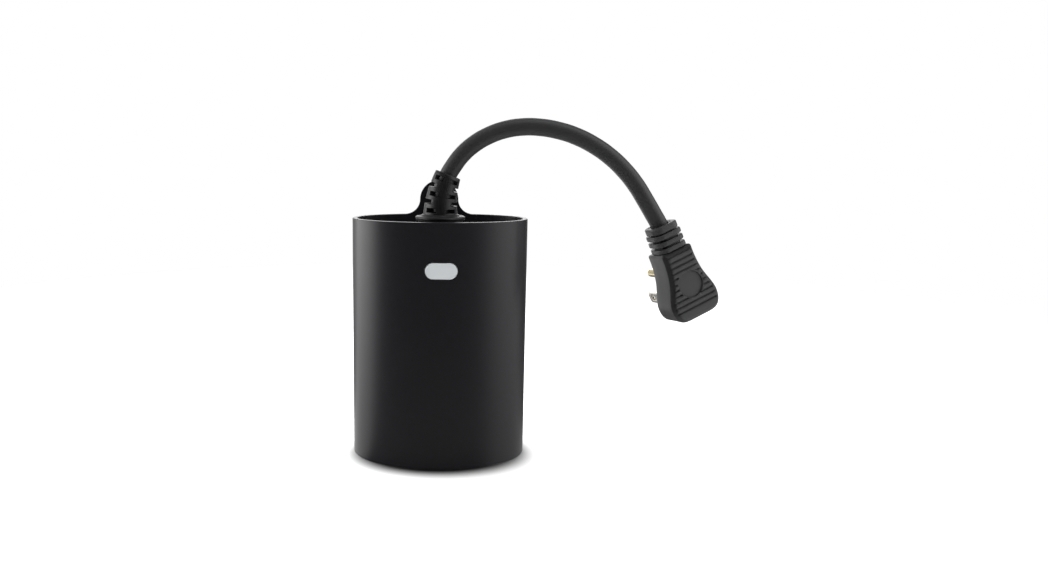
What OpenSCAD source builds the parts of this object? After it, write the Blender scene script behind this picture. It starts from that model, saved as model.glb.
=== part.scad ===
// Outdoor smart plug: an oval sleeve housing with a short cord and an angled three-pin plug,
// one button on the front and two outlets with hinged covers underneath.
// Millimetres. The origin is the centre of the housing's bottom edge, +Z up, front towards -Y.

/* [Housing] */
// Width of the oval housing
body_w = 91; // [90:0.5:94]
// Depth of the oval housing
body_d = 58; // [57:0.5:61]
// Height of the housing up to its rim
body_h = 125; // [125:0.5:130]
// Wall thickness of the sleeve
wall = 2.5; // [2.3:0.1:2.7]
// Squareness of the oval, where 2 is a true ellipse
oval_n = 2.1; // [2.05:0.05:2.3]

/* [Hanging tab] */
// Radius of the arched end of the tab
tab_r = 10.6; // [9:0.1:12]
// Radius of the flare where the tab meets the rim
tab_flare = 8; // [6:0.5:10]
// Radius of the hanging hole
hang_hole_r = 3; // [2:0.5:4]

/* [Cord] */
// Diameter of the cord's jacket
cord_d = 9; // [8.6:0.1:9.1]
// Length of the bent strain relief above the flange
relief_len = 22; // [18:0.5:23]
// Radius of the strain relief at its foot
relief_foot_r = 9; // [8.5:0.1:10]
// Radius of the strain relief at its top
relief_top_r = 6.75; // [6.5:0.05:7.5]

/* [Button] */
// Width of the pill-shaped button
button_w = 16.2; // [14:0.1:17]
// Height of the pill-shaped button
button_h = 8.4; // [7:0.1:9]
// Height of the button's centre above the bottom edge
button_z = 101.2; // [100:0.1:102]

/* [Outlets] */
// Distance of each outlet from the middle
outlet_x = 16.5; // [16.2:0.1:16.8]
// Height of the outlet face above the bottom edge
face_z = 14; // [14:0.1:14.5]
// Half-width of an outlet cover
cover_half_w = 12.5; // [12:0.1:12.5]

/* [Plug] */
// Lean of the plug from the vertical, in degrees
plug_lean = 23; // [20:0.5:26]
// Turn of the plug about its own length, in degrees
plug_turn = 15; // [10:0.5:20]
// Thickness of the plug's body
plug_t = 16.6; // [16:0.1:17.5]

/* [Hidden] */
$fn = 48;
// Clearance between fitted parts, and how far a cutter or an overlap runs past a face
gap = 0.25;
over = 1;

// Oval housing and its ledges
oval_count = 96;
ledge_w = 1.6;
low_ledge_z = face_z + 5.2;
ledge_h = 2.2;
cap_z = body_h - 12;
cap_t = 3;
gasket_t = 0.8;
high_ledge_z = cap_z - gasket_t - ledge_h;
tab_z = body_h + tab_flare;
tab_top = tab_z + tab_r;
hang_z = tab_z + 1.5;

// Cord gland
bore_r = cord_d / 2 + 0.1;
boss_r = 11.5;
boss_top = body_h - 1.6;
flange_r = 13;
flange_top = body_h + 1;
relief_bend = 60;
relief_slots = 5;
relief_slot_depth = 1.7;
relief_ring = 0.5;

// Button and the board behind it
front_y = -body_d / 2;
button_back = front_y + 4.4;
button_lip = 3.4;
seal_w = 2.6;
board_front = -19.5;
board_t = 1.2;
board_back = board_front + board_t;
shield_back = board_back + 3.2;
shield_t = 0.3;
post_r = 2.4;
pilot_r = 0.9;
post_places = [[-14, 87], [14, 87], [-14, 107], [14, 107]];

// Outlet pattern: two flat slots and one round earth hole
slot_x = 6.35;
slot_y = -4.5;
earth_y = slot_y + 11.9;
earth_hole_r = 2.7;
slot_half_t = 0.95;
short_slot = 3.5;
long_slot = 4.1;
well_r = 4.2;
plate_t = 4;
plate_top = face_z + plate_t;
tower_top = plate_top + 13;
retainer_t = 2.5;
retainer_top = tower_top + retainer_t;
screw_x = 35.3;
base_screw_y = 4.5;

// Cover hinge
hinge_y = 17.6;
hinge_z = face_z - 2.5;
knuckle_r = 2.2;
pin_r = 0.8;
pin_half = 12;
cover_top = face_z - 1.8;
cover_t = 2;
cover_half_d = 15;
ear_x = 10.7;
ear_half = 1.3;
knuckles = [[-9, -4], [4, 9]];

// Power board
main_y = 6;
main_t = 1.6;
main_w = 58;
main_z = [40, 98];
panel_y = 12;
panel_t = 2;
panel_z = [36, 108];
standoffs = [[-25, 44], [25, 44], [-25, 94], [25, 94]];
clamp_x = 9.5;
clamp_z = cap_z - 5;
core_r = 1.3;
lead_r = 1;
bar_z = [retainer_top + 0.6, retainer_top + 1.4];

// Plug: its own frame has +Z towards the cord, +Y along the pins and X across
plug_at = [128.5, 0, 91];
plug_face = -8.65;
plug_back = plug_face + plug_t;
plug_neck = 19.5;
plug_end = -18.4;
neck_half = 9;
end_corner = 6.2;
bevel_d = 2.3;
blade_z = -7.4;
earth_z = blade_z + 11.9;
blade_len = 18.3;
earth_len = 21.4;
earth_pin_r = 2.4;
earth_root_r = 2.1;
root_y = 0.5;
blade_half = 3.175;
blade_t = 1.5;
insert_z = [-13, 9];
rib_places = [20.9, 24.5, 28.2];
rib_t = 2.5;
collar_z = [30, 33.6];
groove_z = 16.6;
groove_w = 1;
groove_d = 0.9;
ridge_pitch = 2.92;
ridge_count = 11;
disc_r = 7.2;

// The cord's route in the XZ plane, from inside the cap to the plug
cord_route = [[0, 104], [0, 112], [0, 119], [0, 126], [0.9, 136.4], [3.6, 146.4], [6.8, 152],
    [11.2, 157.8], [17.3, 163.2], [24.8, 167.6], [33.1, 170.6], [41.8, 172], [51, 171.9],
    [60.4, 170.4], [69.6, 167.6], [78.8, 163.2], [87.4, 157.5], [95.1, 150.6], [101.6, 143],
    [107, 134.9], [111.6, 127.5], [115.4, 121.2], [119.4, 112.4], [123, 103.9]];

// ---- outlines and sweeps ----

function oval(inset) = [for (i = [0 : oval_count - 1])
    let (t = 360 * i / oval_count, c = cos(t), s = sin(t))
    [(body_w / 2 - inset) * sign(c) * pow(abs(c), 2 / oval_n),
     (body_d / 2 - inset) * sign(s) * pow(abs(s), 2 / oval_n)]];

function arc(cx, cy, r, from, to, steps = 12) = [for (i = [0 : steps])
    let (t = from + (to - from) * i / steps) [cx + r * cos(t), cy + r * sin(t)]];

function pill(w, h) = concat(arc((w - h) / 2, 0, h / 2, -90, 90), arc((h - w) / 2, 0, h / 2, 90, 270));

function rounded(hw, hh, r, steps = 6) = concat(arc(hw - r, hh - r, r, 0, 90, steps),
    arc(r - hw, hh - r, r, 90, 180, steps), arc(r - hw, r - hh, r, 180, 270, steps),
    arc(hw - r, r - hh, r, 270, 360, steps));

// A smooth curve through the points of a route, with a few steps between each pair
function curve_point(a, b, c, d, t) = 0.5 * (2 * b + (c - a) * t + (2 * a - 5 * b + 4 * c - d) * t * t
    + (3 * b - a - 3 * c + d) * t * t * t);
function curve(p, steps) = [for (i = [0 : len(p) - 2], k = [0 : steps - 1])
    curve_point(p[max(i - 1, 0)], p[i], p[i + 1], p[min(i + 2, len(p) - 1)], k / steps), p[len(p) - 1]];

function heading(p, i) = let (d = p[min(i + 1, len(p) - 1)] - p[max(i - 1, 0)]) d / norm(d);
function ring(at, dir, r, sides) = [for (k = [0 : sides - 1]) let (t = 360 * (k + 0.5) / sides)
    [at[0] + r * cos(t) * dir[1], r * sin(t), at[1] - r * cos(t) * dir[0]]];

// Joins rings of points into one skin: capped at both ends, or closed on itself
module skin(points, rings, sides, closed) {
    quads = [for (j = [0 : rings - (closed ? 1 : 2)], k = [0 : sides - 1])
        let (n = (j + 1) % rings, m = (k + 1) % sides)
        [j * sides + k, n * sides + k, n * sides + m, j * sides + m]];
    ends = closed ? [] : [[for (k = [0 : sides - 1]) k],
        [for (k = [sides - 1 : -1 : 0]) (rings - 1) * sides + k]];
    polyhedron(points, concat(quads, ends), convexity = 6);
}

// Round tube along a route in the XZ plane
module tube(route, r, sides) {
    rings = [for (i = [0 : len(route) - 1]) each ring(route[i], heading(route, i), r, sides)];
    skin(rings, len(route), sides, false);
}

// Flat prism with its outline in XZ, from y0 to y1
module slab_y(outline, y0, y1) translate([0, y1, 0]) rotate([90, 0, 0])
    linear_extrude(y1 - y0) polygon(outline);

module slab_z(outline, z0, z1) translate([0, 0, z0]) linear_extrude(z1 - z0) polygon(outline);

module box(x, y, z) translate([x[0], y[0], z[0]]) cube([x[1] - x[0], y[1] - y[0], z[1] - z[0]]);

module rod_x(r, x0, x1, y, z) translate([x0, y, z]) rotate([0, 90, 0]) cylinder(r = r, h = x1 - x0);

module rod_y(r, y0, y1, x, z) translate([x, y1, z]) rotate([90, 0, 0]) cylinder(r = r, h = y1 - y0);

module rod_z(r, z0, z1, x = 0, y = 0) translate([x, y, z0]) cylinder(r = r, h = z1 - z0);

// ---- housing ----

// Everything above the rim and the arched tab, front wall included
module rim_cutter() {
    far = body_w;
    outline = concat([[-far, body_h]], arc(-tab_r - tab_flare, tab_z, tab_flare, 270, 360),
        arc(0, tab_z, tab_r, 180, 0, 24), arc(tab_r + tab_flare, tab_z, tab_flare, 180, 270),
        [[far, body_h], [far, tab_top + tab_r], [-far, tab_top + tab_r]]);
    slab_y(outline, -over, body_d);
    box([-far, far], [-body_d, 0], [body_h, tab_top + tab_r]);
}

module outer_shell() color("#1c1c1e") difference() {
    union() {
        difference() {
            slab_z(oval(0), 0, tab_top + over);
            // The bore, left narrower at two ledges that carry the base and the cap
            slab_z(oval(wall), -over, low_ledge_z);
            slab_z(oval(wall + ledge_w), low_ledge_z - over, tab_top + 2 * over);
            slab_z(oval(wall), low_ledge_z + ledge_h, high_ledge_z);
            slab_z(oval(wall), high_ledge_z + ledge_h, tab_top + 2 * over);
            rim_cutter();
        }
        for (p = post_places) rod_y(post_r, front_y + wall + 1.2, board_front, p[0], p[1]);
    }
    translate([0, 0, button_z])
        slab_y(pill(button_w + 2 * gap, button_h + 2 * gap), front_y - over, front_y + 2 * wall + over);
    for (p = post_places) rod_y(pilot_r, board_front - 4, board_front + over, p[0], p[1]);
    rod_y(hang_hole_r, body_d / 2 - 2 * wall - over, body_d / 2 + over, 0, hang_z);
}

module top_cap() color("#1b1b1d") difference() {
    union() {
        slab_z(oval(wall + gap), cap_z, cap_z + cap_t);
        rod_z(boss_r, cap_z + over, boss_top);
        // Rear half of the cord clamp, with pilot holes for its two screws
        box([-13, 13], [0.3, 8], [cap_z - 9, cap_z + gap]);
    }
    rod_z(bore_r, cap_z - 10, boss_top + over);
    for (x = [-clamp_x, clamp_x]) rod_y(1.1, -over, 6, x, clamp_z);
}

module top_gasket() color("#3a3a3a") difference() {
    slab_z(oval(wall + gap), cap_z - gasket_t, cap_z);
    slab_z(oval(wall + ledge_w), cap_z - gasket_t - over, cap_z + over);
}

module gland_flange() color("#202022") rotate_extrude() polygon([[bore_r, boss_top],
    [flange_r - 0.6, boss_top], [flange_r, boss_top + 0.6], [flange_r, flange_top - 0.8],
    [flange_r - 0.8, flange_top], [bore_r, flange_top]]);

// Ribbed sleeve that bends over to the right, hollow for the cord
module strain_relief() {
    sides = 20;
    pitch = relief_len / (relief_slots + relief_ring);
    solid_h = pitch * relief_ring;
    function place(s) = let (a = s / relief_bend * 180 / PI)
        [[relief_bend * (1 - cos(a)), flange_top + relief_bend * sin(a)], [sin(a), cos(a)]];
    function outer_r(s) = relief_foot_r + (relief_top_r - relief_foot_r) * s / relief_len;
    levels = [for (k = [0 : relief_slots - 1]) each [[k * pitch, 0], [k * pitch + solid_h, 0],
        [k * pitch + solid_h, relief_slot_depth], [(k + 1) * pitch, relief_slot_depth]],
        [relief_slots * pitch, 0], [relief_len, 0]];
    last = len(levels) - 1;
    stations = concat([for (v = levels) [v[0], outer_r(v[0]) - v[1]]],
        [for (i = [last : -2 : 0]) [levels[i][0], bore_r]], [[0, bore_r]]);
    color("#19191b") skin([for (s = stations) each ring(place(s[0])[0], place(s[0])[1], s[1], sides)],
        len(stations), sides, true);
}

module cord() color("#161618") tube(curve(cord_route, 3), cord_d / 2, 12);

module cord_clamp() color("#e6e6e0") difference() {
    box([-13, 13], [-6.5, -0.3], [cap_z - 8, cap_z - 2]);
    rod_z(bore_r, cap_z - 10, cap_z);
    for (x = [-clamp_x, clamp_x]) rod_y(1.35, -8, over, x, clamp_z);
}

// A screw along Y: its head from y0 to y1, then its shank on to y2
module screw_y(head_r, shank_r, y0, y1, y2, x, z) {
    rod_y(head_r, min(y0, y1), max(y0, y1), x, z);
    mid = (y0 + y1) / 2;
    rod_y(shank_r, min(mid, y2), max(mid, y2), x, z);
}

module clamp_screws() color("#b8bbc0") for (x = [-clamp_x, clamp_x])
    screw_y(2.4, 1.05, -8.2, -6.5, 5, x, clamp_z);

// ---- plug ----

module plug_place() translate(plug_at) rotate([0, -plug_lean, 0]) rotate([0, 0, plug_turn]) children();

// Half-outline of the plug's body seen along its pins: straight neck, flared shoulders, round end
function plug_side(inset) = concat([[neck_half - inset, plug_neck], [neck_half - inset, 13]],
    arc(neck_half + 22, 8, 22 + inset, 168, 198, 6),
    arc(8 - inset * 0.6, plug_end + end_corner + inset * 0.6, end_corner, 30, -90, 8));
function plug_outline(inset) = let (side = plug_side(inset)) concat(side,
    [for (i = [len(side) - 1 : -1 : 0]) [-side[i][0], side[i][1]]]);

module plug_body() color("#1b1b1d") plug_place() difference() {
    union() {
        slab_y(plug_outline(0), plug_face + bevel_d, plug_back);
        slab_y(plug_outline(2), plug_face, plug_face + bevel_d + over);
    }
    // Grooves of the grip and the round recess among them
    for (k = [0 : ridge_count - 1]) translate([0, 0, groove_z - k * ridge_pitch])
        box([-body_w, body_w], [plug_face - over, plug_face + groove_d], [0, groove_w]);
    rod_y(disc_r, plug_face - over, plug_face + over, 0, 0);
    // Seat of the insert, the space for the wires behind it and the cord's way in
    box([-neck_half, neck_half], [2, plug_back + over], insert_z);
    box([-8, 8], [-3.5, 2.5], [-11, 12.5]);
    rod_z(bore_r, 12, plug_neck + over);
}

module plug_strain_relief() color("#19191b") plug_place() difference() {
    union() {
        // A plain stem, three ribs on it and a thicker collar at the cord's end
        slab_z(rounded(6.3, 5.6, 3), plug_neck, collar_z[1]);
        for (z = rib_places) slab_z(rounded(7.9, 6.9, 3.4), z - rib_t / 2, z + rib_t / 2);
        slab_z(rounded(7.4, 6.4, 3.4), collar_z[0], collar_z[1]);
    }
    rod_z(bore_r, plug_neck - over, collar_z[1] + over);
}

module plug_bridge() color("#2a2a2c") plug_place() difference() {
    box([-neck_half, neck_half], [2, plug_back], insert_z);
    for (x = [-slot_x, slot_x])
        box([x - blade_t / 2, x + blade_t / 2], [over, plug_back + over],
            [blade_z - blade_half, blade_z + blade_half]);
    rod_y(earth_root_r, over, plug_back + over, 0, earth_z);
}

module plug_blades() color("#c9c8c0") plug_place() for (x = [-slot_x, slot_x]) {
    tip = plug_back + blade_len;
    side = [[root_y, -blade_half], [tip - 1.5, -blade_half], [tip, -1.9], [tip, 1.9], [tip - 1.5, blade_half],
        [root_y, blade_half]];
    // Each blade has a small round hole near its tip
    difference() {
        translate([x - blade_t / 2, 0, blade_z]) rotate([90, 0, 90]) linear_extrude(blade_t) polygon(side);
        rod_x(1.6, x - blade_t, x + blade_t, tip - 4.2, blade_z);
    }
}

module plug_ground_pin() color("#cfc08a") plug_place() translate([0, root_y, earth_z]) rotate([-90, 0, 0]) {
    root_len = plug_back - root_y;
    pin_len = root_len + earth_len;
    rotate_extrude() polygon([[0, 0], [earth_root_r, 0], [earth_root_r, root_len], [earth_pin_r, root_len],
        [earth_pin_r, pin_len - 2.2], [1.9, pin_len - 0.8], [1, pin_len], [0, pin_len]]);
}

// Three cores spreading from the end of the cord to the roots of the blades and of the earth pin
plug_cores = [["#f0f0f0", -slot_x, blade_z + 3.4], ["#111111", slot_x, blade_z + 3.4],
    ["#2f8a3a", 0, earth_z + 2.8]];
module plug_wires() plug_place() for (w = plug_cores) color(w[0]) translate([0, -1.4, 0])
    tube(curve([[w[1] * 0.36, 13.3], [w[1] * 0.36, 11.5], [w[1], max(w[2] + 0.5, 1)],
        [w[1], w[2]]], 3), 0.9, 8);

// ---- button and control board ----

// The pill that is pressed, the lip that keeps it in and the nub over the switch
module button_cap() color("#cfd3d5") translate([0, 0, button_z]) {
    slab_y(pill(button_w, button_h), front_y, button_back);
    slab_y(pill(button_w + button_lip, button_h + button_lip), button_back - 1, button_back);
    rod_y(2, button_back - gap, button_back + 0.4, 0, 0);
}

module button_seal() color("#8d9092") translate([0, 0, button_z]) difference() {
    slab_y(pill(button_w + seal_w, button_h + seal_w), board_front - 3.2, board_front);
    slab_y(pill(button_w, button_h), board_front - 4, board_front + over);
}

module control_board() color("#1f6a3c") difference() {
    box([-18, 18], [board_front, board_back], [84, 110]);
    for (p = post_places) rod_y(pilot_r + 0.3, board_front - over, board_back + over, p[0], p[1]);
}

module tact_switch() color("#2b2b2b") translate([0, 0, button_z]) {
    half = 3;
    box([-half, half], [board_front - 3, board_front], [-half, half]);
    rod_y(half / 2, board_front - 3.9, board_front - 2.9, 0, 0);
}

module status_led() color("#dfe8f0")
    box([4.6, 6.4], [board_front - 1.2, board_front], [button_z - 1, button_z + 1]);

module radio_module() color("#1d5c8a") box([-9, 9], [board_back, board_back + 0.8], [85, 109]);

module radio_shield() color("#c3c6c9") difference() {
    half = 7.5;
    box([-half, half], [board_back + 0.8, shield_back], [86, 100]);
    box([shield_t - half, half - shield_t], [board_back, shield_back - shield_t],
        [86 + shield_t, 100 - shield_t]);
}

module control_screws() color("#b8bbc0") for (p = post_places)
    screw_y(1.9, 0.85, board_back + 1.4, board_back, board_front - 3.4, p[0], p[1]);

// Flat ribbon between the two boards
module board_cable() color("#9aa0a6") {
    ribbon_t = 0.7;
    ribbon_w = 10;
    top = curve([[board_back, 84.9], [-14, 84], [-8, 78], [-2, 74], [main_y, 72]], 4);
    path = concat(top, [for (i = [len(top) - 1 : -1 : 0]) top[i] - [0, ribbon_t]]);
    translate([-ribbon_w / 2, 0, 0]) rotate([90, 0, 90]) linear_extrude(ribbon_w) polygon(path);
}

// ---- chassis and power board ----

// Two upright rails on the base, a panel between them and four standoffs for the power board
module inner_chassis() color("#e9e9e4") difference() {
    union() {
        for (s = [-1, 1]) {
            box([s * 35.25 - 2.75, s * 35.25 + 2.75], [-8, 8.5], [plate_top, panel_z[1]]);
            box([s * 33.25 - 1.75, s * 33.25 + 1.75], [8, panel_y + panel_t], panel_z);
        }
        box([-34, 34], [panel_y, panel_y + panel_t], panel_z);
        for (p = standoffs) rod_y(2.6, main_y + main_t, panel_y + over, p[0], p[1]);
    }
    for (x = [-screw_x, screw_x], y = [-base_screw_y, base_screw_y])
        rod_z(1.3, plate_top - over, plate_top + 11, x, y);
    for (p = standoffs) rod_y(1.1, main_y, panel_y + panel_t + over, p[0], p[1]);
    // Vents that let the board's heat through the panel
    for (z = [54, 70, 86]) rod_y(5, panel_y - over, panel_y + panel_t + over, 0, z);
}

module main_board() color("#1f6a3c") difference() {
    box([-main_w / 2, main_w / 2], [main_y, main_y + main_t], main_z);
    for (p = standoffs) rod_y(1.3, main_y - over, main_y + main_t + over, p[0], p[1]);
}

module board_screws() color("#b8bbc0") for (p = standoffs)
    screw_y(2.3, 1.05, main_y - 1.5, main_y, panel_y + 1, p[0], p[1]);

module relays() color("#2a62b8") for (s = [-1, 1])
    box([s * 13.5 - 7.75, s * 13.5 + 7.75], [main_y - 15.3, main_y], [47, 66]);

// Open core with its winding set in the window, clear of the core all round
module transformer() {
    clear = 0.2;
    color("#3a3a3a") difference() {
        box([-25, -11], [main_y - 13, main_y], [72, 86]);
        box([-23.5, -12.5], [main_y - 14, main_y - 1], [75, 83]);
    }
    color("#e7c21a")
        box([-23.5 + clear, -12.5 - clear], [main_y - 12, main_y - 1 - clear], [75 + clear, 83 - clear]);
}

module capacitors() color("#24365e") {
    rod_y(4, main_y - 13, main_y, 13, 78);
    rod_y(4, main_y - 13, main_y, 22.5, 78);
    rod_y(2.5, main_y - 8, main_y, 24, 69.5);
}

module varistor() color("#2f6fb5") rod_x(4.5, 10, 13.6, main_y - 5, 90);

module fuse() color("#8a5a2c") rod_x(1.9, -20, -10.5, main_y - 3, 91);

module terminal_block() color("#2f9a52") difference() {
    box([-9, 9], [main_y - 8, main_y], [87, 95]);
    for (x = [-6, 0, 6]) rod_z(1.5, 90, 96, x, main_y - 4.5);
}

// One insulated core from the end of the cord to its terminal
module core(shift, tone) color(tone) translate([shift, 0, 0]) rotate([0, 0, 90])
    tube(curve([[0, 103.9], [0, 101], [main_y - 4.5, 97], [main_y - 4.5, 90.2]], 4), core_r, 8);

module line_wire() core(6, "#151515");

module neutral_wire() core(-6, "#f2f2f2");

module ground_wire() core(0, "#2f8a3a");

// ---- outlets ----

module outlet_base() color("#1b1b1d") difference() {
    union() {
        slab_z(oval(wall + gap), face_z, plate_top);
        for (s = [-1, 1]) {
            box([s * outlet_x - 13, s * outlet_x + 13], [-14, 14], [plate_top - over, tower_top]);
            for (e = [-1, 1]) {
                ear = [s * outlet_x + e * ear_x - ear_half, s * outlet_x + e * ear_x + ear_half];
                rod_x(knuckle_r, ear[0], ear[1], hinge_y, hinge_z);
                box(ear, [hinge_y - knuckle_r, hinge_y + knuckle_r], [hinge_z, face_z + over]);
            }
        }
    }
    for (s = [-1, 1]) translate([s * outlet_x, 0, 0]) {
        // Two slots, the neutral one longer, each with a well above it for its contact
        for (slot = [[-slot_x, short_slot], [slot_x, long_slot]]) {
            box([slot[0] - slot_half_t, slot[0] + slot_half_t], [slot_y - slot[1], slot_y + slot[1]],
                [face_z - over, plate_top + over]);
            box([slot[0] - 2.6, slot[0] + 2.6], [slot_y - 5, slot_y + 5], [plate_top, tower_top + over]);
        }
        rod_z(earth_hole_r, face_z - over, plate_top + over, 0, earth_y);
        rod_z(well_r, plate_top, tower_top + over, 0, earth_y);
        rod_x(pin_r + 0.02, -pin_half - over, pin_half + over, hinge_y, hinge_z);
    }
    // Countersunk places of the four screws
    for (x = [-screw_x, screw_x], y = [-base_screw_y, base_screw_y]) {
        rod_z(1.5, face_z - over, plate_top + over, x, y);
        rod_z(2.9, face_z - over, face_z + 2, x, y);
    }
}

module base_gasket() color("#3a3a3a") difference() {
    slab_z(oval(wall + gap), plate_top, low_ledge_z);
    slab_z(oval(wall + ledge_w), plate_top - over, low_ledge_z + over);
}

module base_screws() color("#b8bbc0") for (x = [-screw_x, screw_x], y = [-base_screw_y, base_screw_y]) {
    rod_z(2.6, face_z + 0.2, face_z + 2, x, y);
    rod_z(1.25, face_z + 1.9, plate_top + 10, x, y);
}

module contact_retainer() color("#dcdcd4") difference() {
    box([-29.5, 29.5], [-14, 14], [tower_top, retainer_top]);
    for (s = [-1, 1]) translate([s * outlet_x, 0, 0]) {
        for (x = [-slot_x, slot_x])
            box([x - 0.8, x + 0.8], [slot_y - 2.7, slot_y + 2.7], [tower_top - over, retainer_top + over]);
        rod_z(1.5, tower_top - over, retainer_top + over, 0, earth_y);
    }
}

// Spring clip for one flat blade, with a tab up through the retainer
module blade_clip(x) {
    along = [slot_y - 3.2, slot_y + 3.2];
    for (s = [-1, 1]) box([x + s * 1.3 - 0.3, x + s * 1.3 + 0.3], along, [plate_top + 1, tower_top - 0.6]);
    box([x - 1.6, x + 1.6], along, [tower_top - 0.9, tower_top - 0.1]);
    box([x - 0.4, x + 0.4], [slot_y - 2.5, slot_y + 2.5], [tower_top - 0.2, retainer_top + 4]);
}

module line_contacts() color("#c58a3e") for (s = [-1, 1]) blade_clip(s * outlet_x - slot_x);

// Both neutral clips, joined by a bar above the retainer
module neutral_contacts() color("#c9c8c0") {
    for (s = [-1, 1]) {
        x = s * outlet_x + slot_x;
        blade_clip(x);
        box([x - 0.4, x + 0.4], [slot_y - 6, slot_y - 2], bar_z);
    }
    box([-outlet_x + slot_x - 0.4, outlet_x + slot_x + 0.4], [slot_y - 7, slot_y - 5], bar_z);
}

// Slit sockets for the earth pins, joined by a bar above the retainer
module ground_contacts() color("#c9c8c0") {
    for (s = [-1, 1]) translate([s * outlet_x, 0, 0]) {
        difference() {
            rod_z(3.2, plate_top + 1, tower_top - 0.1, 0, earth_y);
            rod_z(2.5, plate_top, tower_top - 1, 0, earth_y);
            box([-0.4, 0.4], [earth_y, earth_y + 5], [plate_top, tower_top - 1]);
        }
        rod_z(1.3, tower_top - 0.2, retainer_top + 1, 0, earth_y);
    }
    box([-outlet_x - 2, outlet_x + 2], [earth_y - 2, earth_y + 2], bar_z);
}

// Insulated leads from the power board down to the contacts
module outlet_leads() {
    foot = retainer_top + 4.6;
    for (s = [-1, 1]) color("#151515") translate([0, slot_y, 0])
        tube(curve([[s * 14, 46.5], [s * 14, 44], [s * outlet_x - slot_x, foot + 1.5],
            [s * outlet_x - slot_x, foot]], 4), lead_r, 8);
    color("#f2f2f2") translate([0, slot_y, 0])
        tube(curve([[25, 46.5], [25, 43], [outlet_x + slot_x, foot + 1.5],
            [outlet_x + slot_x, foot]], 4), lead_r, 8);
    color("#2f8a3a") translate([0, main_y - 1.1, 0])
        tube(curve([[0, 46], [0, main_z[0] + 1], [0, retainer_top + 1.5]], 3), lead_r, 8);
}

// ---- outlet covers ----

// Lid with a finger lip at the front and two hinge knuckles at the back
module cover(x) color("#1b1b1d") translate([x, 0, 0]) difference() {
    union() {
        slab_z(rounded(cover_half_w, cover_half_d, 3), cover_top - cover_t, cover_top);
        box([-5, 5], [-cover_half_d - 2.2, -cover_half_d + 1], [cover_top - cover_t, cover_top - 0.6]);
        for (k = knuckles) {
            box(k, [cover_half_d - 1, hinge_y], [cover_top - cover_t, cover_top]);
            rod_x(knuckle_r, k[0], k[1], hinge_y, hinge_z);
        }
    }
    rod_x(pin_r + 0.05, -13, 13, hinge_y, hinge_z);
}

module cover_left() cover(-outlet_x);

module cover_right() cover(outlet_x);

module cover_gasket(x) color("#6d6f72") translate([x, 0, 0]) difference() {
    band = 1.4;
    slab_z(rounded(11.5, 13, 3), cover_top, face_z - 0.2);
    slab_z(rounded(11.5 - band, 13 - band, 2), cover_top - over, face_z + over);
}

module cover_gasket_left() cover_gasket(-outlet_x);

module cover_gasket_right() cover_gasket(outlet_x);

module hinge_pin(x) color("#c3c6c9") rod_x(pin_r, x - pin_half, x + pin_half, hinge_y, hinge_z);

module hinge_pin_left() hinge_pin(-outlet_x);

module hinge_pin_right() hinge_pin(outlet_x);

// Torsion spring on the pin, between the cover's two knuckles
module cover_spring(x) color("#b8bbc0") {
    difference() {
        rod_x(1.75, x - 3.4, x + 3.4, hinge_y, hinge_z);
        rod_x(1.15, x - 4, x + 4, hinge_y, hinge_z);
    }
    box([x - 3.3, x - 2.7], [hinge_y + 1.2, hinge_y + 1.8], [hinge_z, face_z]);
}

module cover_spring_left() cover_spring(-outlet_x);

module cover_spring_right() cover_spring(outlet_x);

outer_shell();
top_cap();
top_gasket();
gland_flange();
strain_relief();
cord();
plug_strain_relief();
plug_body();
plug_bridge();
plug_blades();
plug_ground_pin();
plug_wires();
button_cap();
button_seal();
control_board();
tact_switch();
status_led();
radio_module();
radio_shield();
control_screws();
board_cable();
inner_chassis();
main_board();
board_screws();
relays();
transformer();
capacitors();
varistor();
fuse();
terminal_block();
line_wire();
neutral_wire();
ground_wire();
cord_clamp();
clamp_screws();
outlet_base();
base_gasket();
base_screws();
contact_retainer();
line_contacts();
neutral_contacts();
ground_contacts();
outlet_leads();
cover_left();
cover_right();
cover_gasket_left();
cover_gasket_right();
hinge_pin_left();
hinge_pin_right();
cover_spring_left();
cover_spring_right();
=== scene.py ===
"""Outdoor smart plug: an oval sleeve housing, its short bent cord and the angled three-pin plug on it.

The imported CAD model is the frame. Moulded pieces with rolled edges, slots, ribs and ridges stand for the
plainer CAD parts, and every part gets a procedural finish. Outlines are drawn in millimetres.
"""
from math import copysign, cos, dist, hypot, pi, radians, sin, sqrt

import bmesh
import bpy
import numpy as np
from mathutils import Matrix, Vector
from mathutils.geometry import delaunay_2d_cdt


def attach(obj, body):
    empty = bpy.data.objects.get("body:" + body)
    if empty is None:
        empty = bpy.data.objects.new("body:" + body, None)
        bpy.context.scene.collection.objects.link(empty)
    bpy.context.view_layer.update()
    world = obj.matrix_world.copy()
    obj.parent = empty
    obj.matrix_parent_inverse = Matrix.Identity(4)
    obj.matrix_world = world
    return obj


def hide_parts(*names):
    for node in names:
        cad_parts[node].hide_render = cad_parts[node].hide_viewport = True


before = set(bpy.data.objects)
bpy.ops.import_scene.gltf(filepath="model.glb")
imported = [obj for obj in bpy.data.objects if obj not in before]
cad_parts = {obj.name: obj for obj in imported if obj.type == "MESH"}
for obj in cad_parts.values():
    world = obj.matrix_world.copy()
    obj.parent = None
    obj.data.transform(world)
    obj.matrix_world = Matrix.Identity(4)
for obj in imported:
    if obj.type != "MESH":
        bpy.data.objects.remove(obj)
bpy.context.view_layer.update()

MM = 0.001

# ---------- sizes

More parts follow.
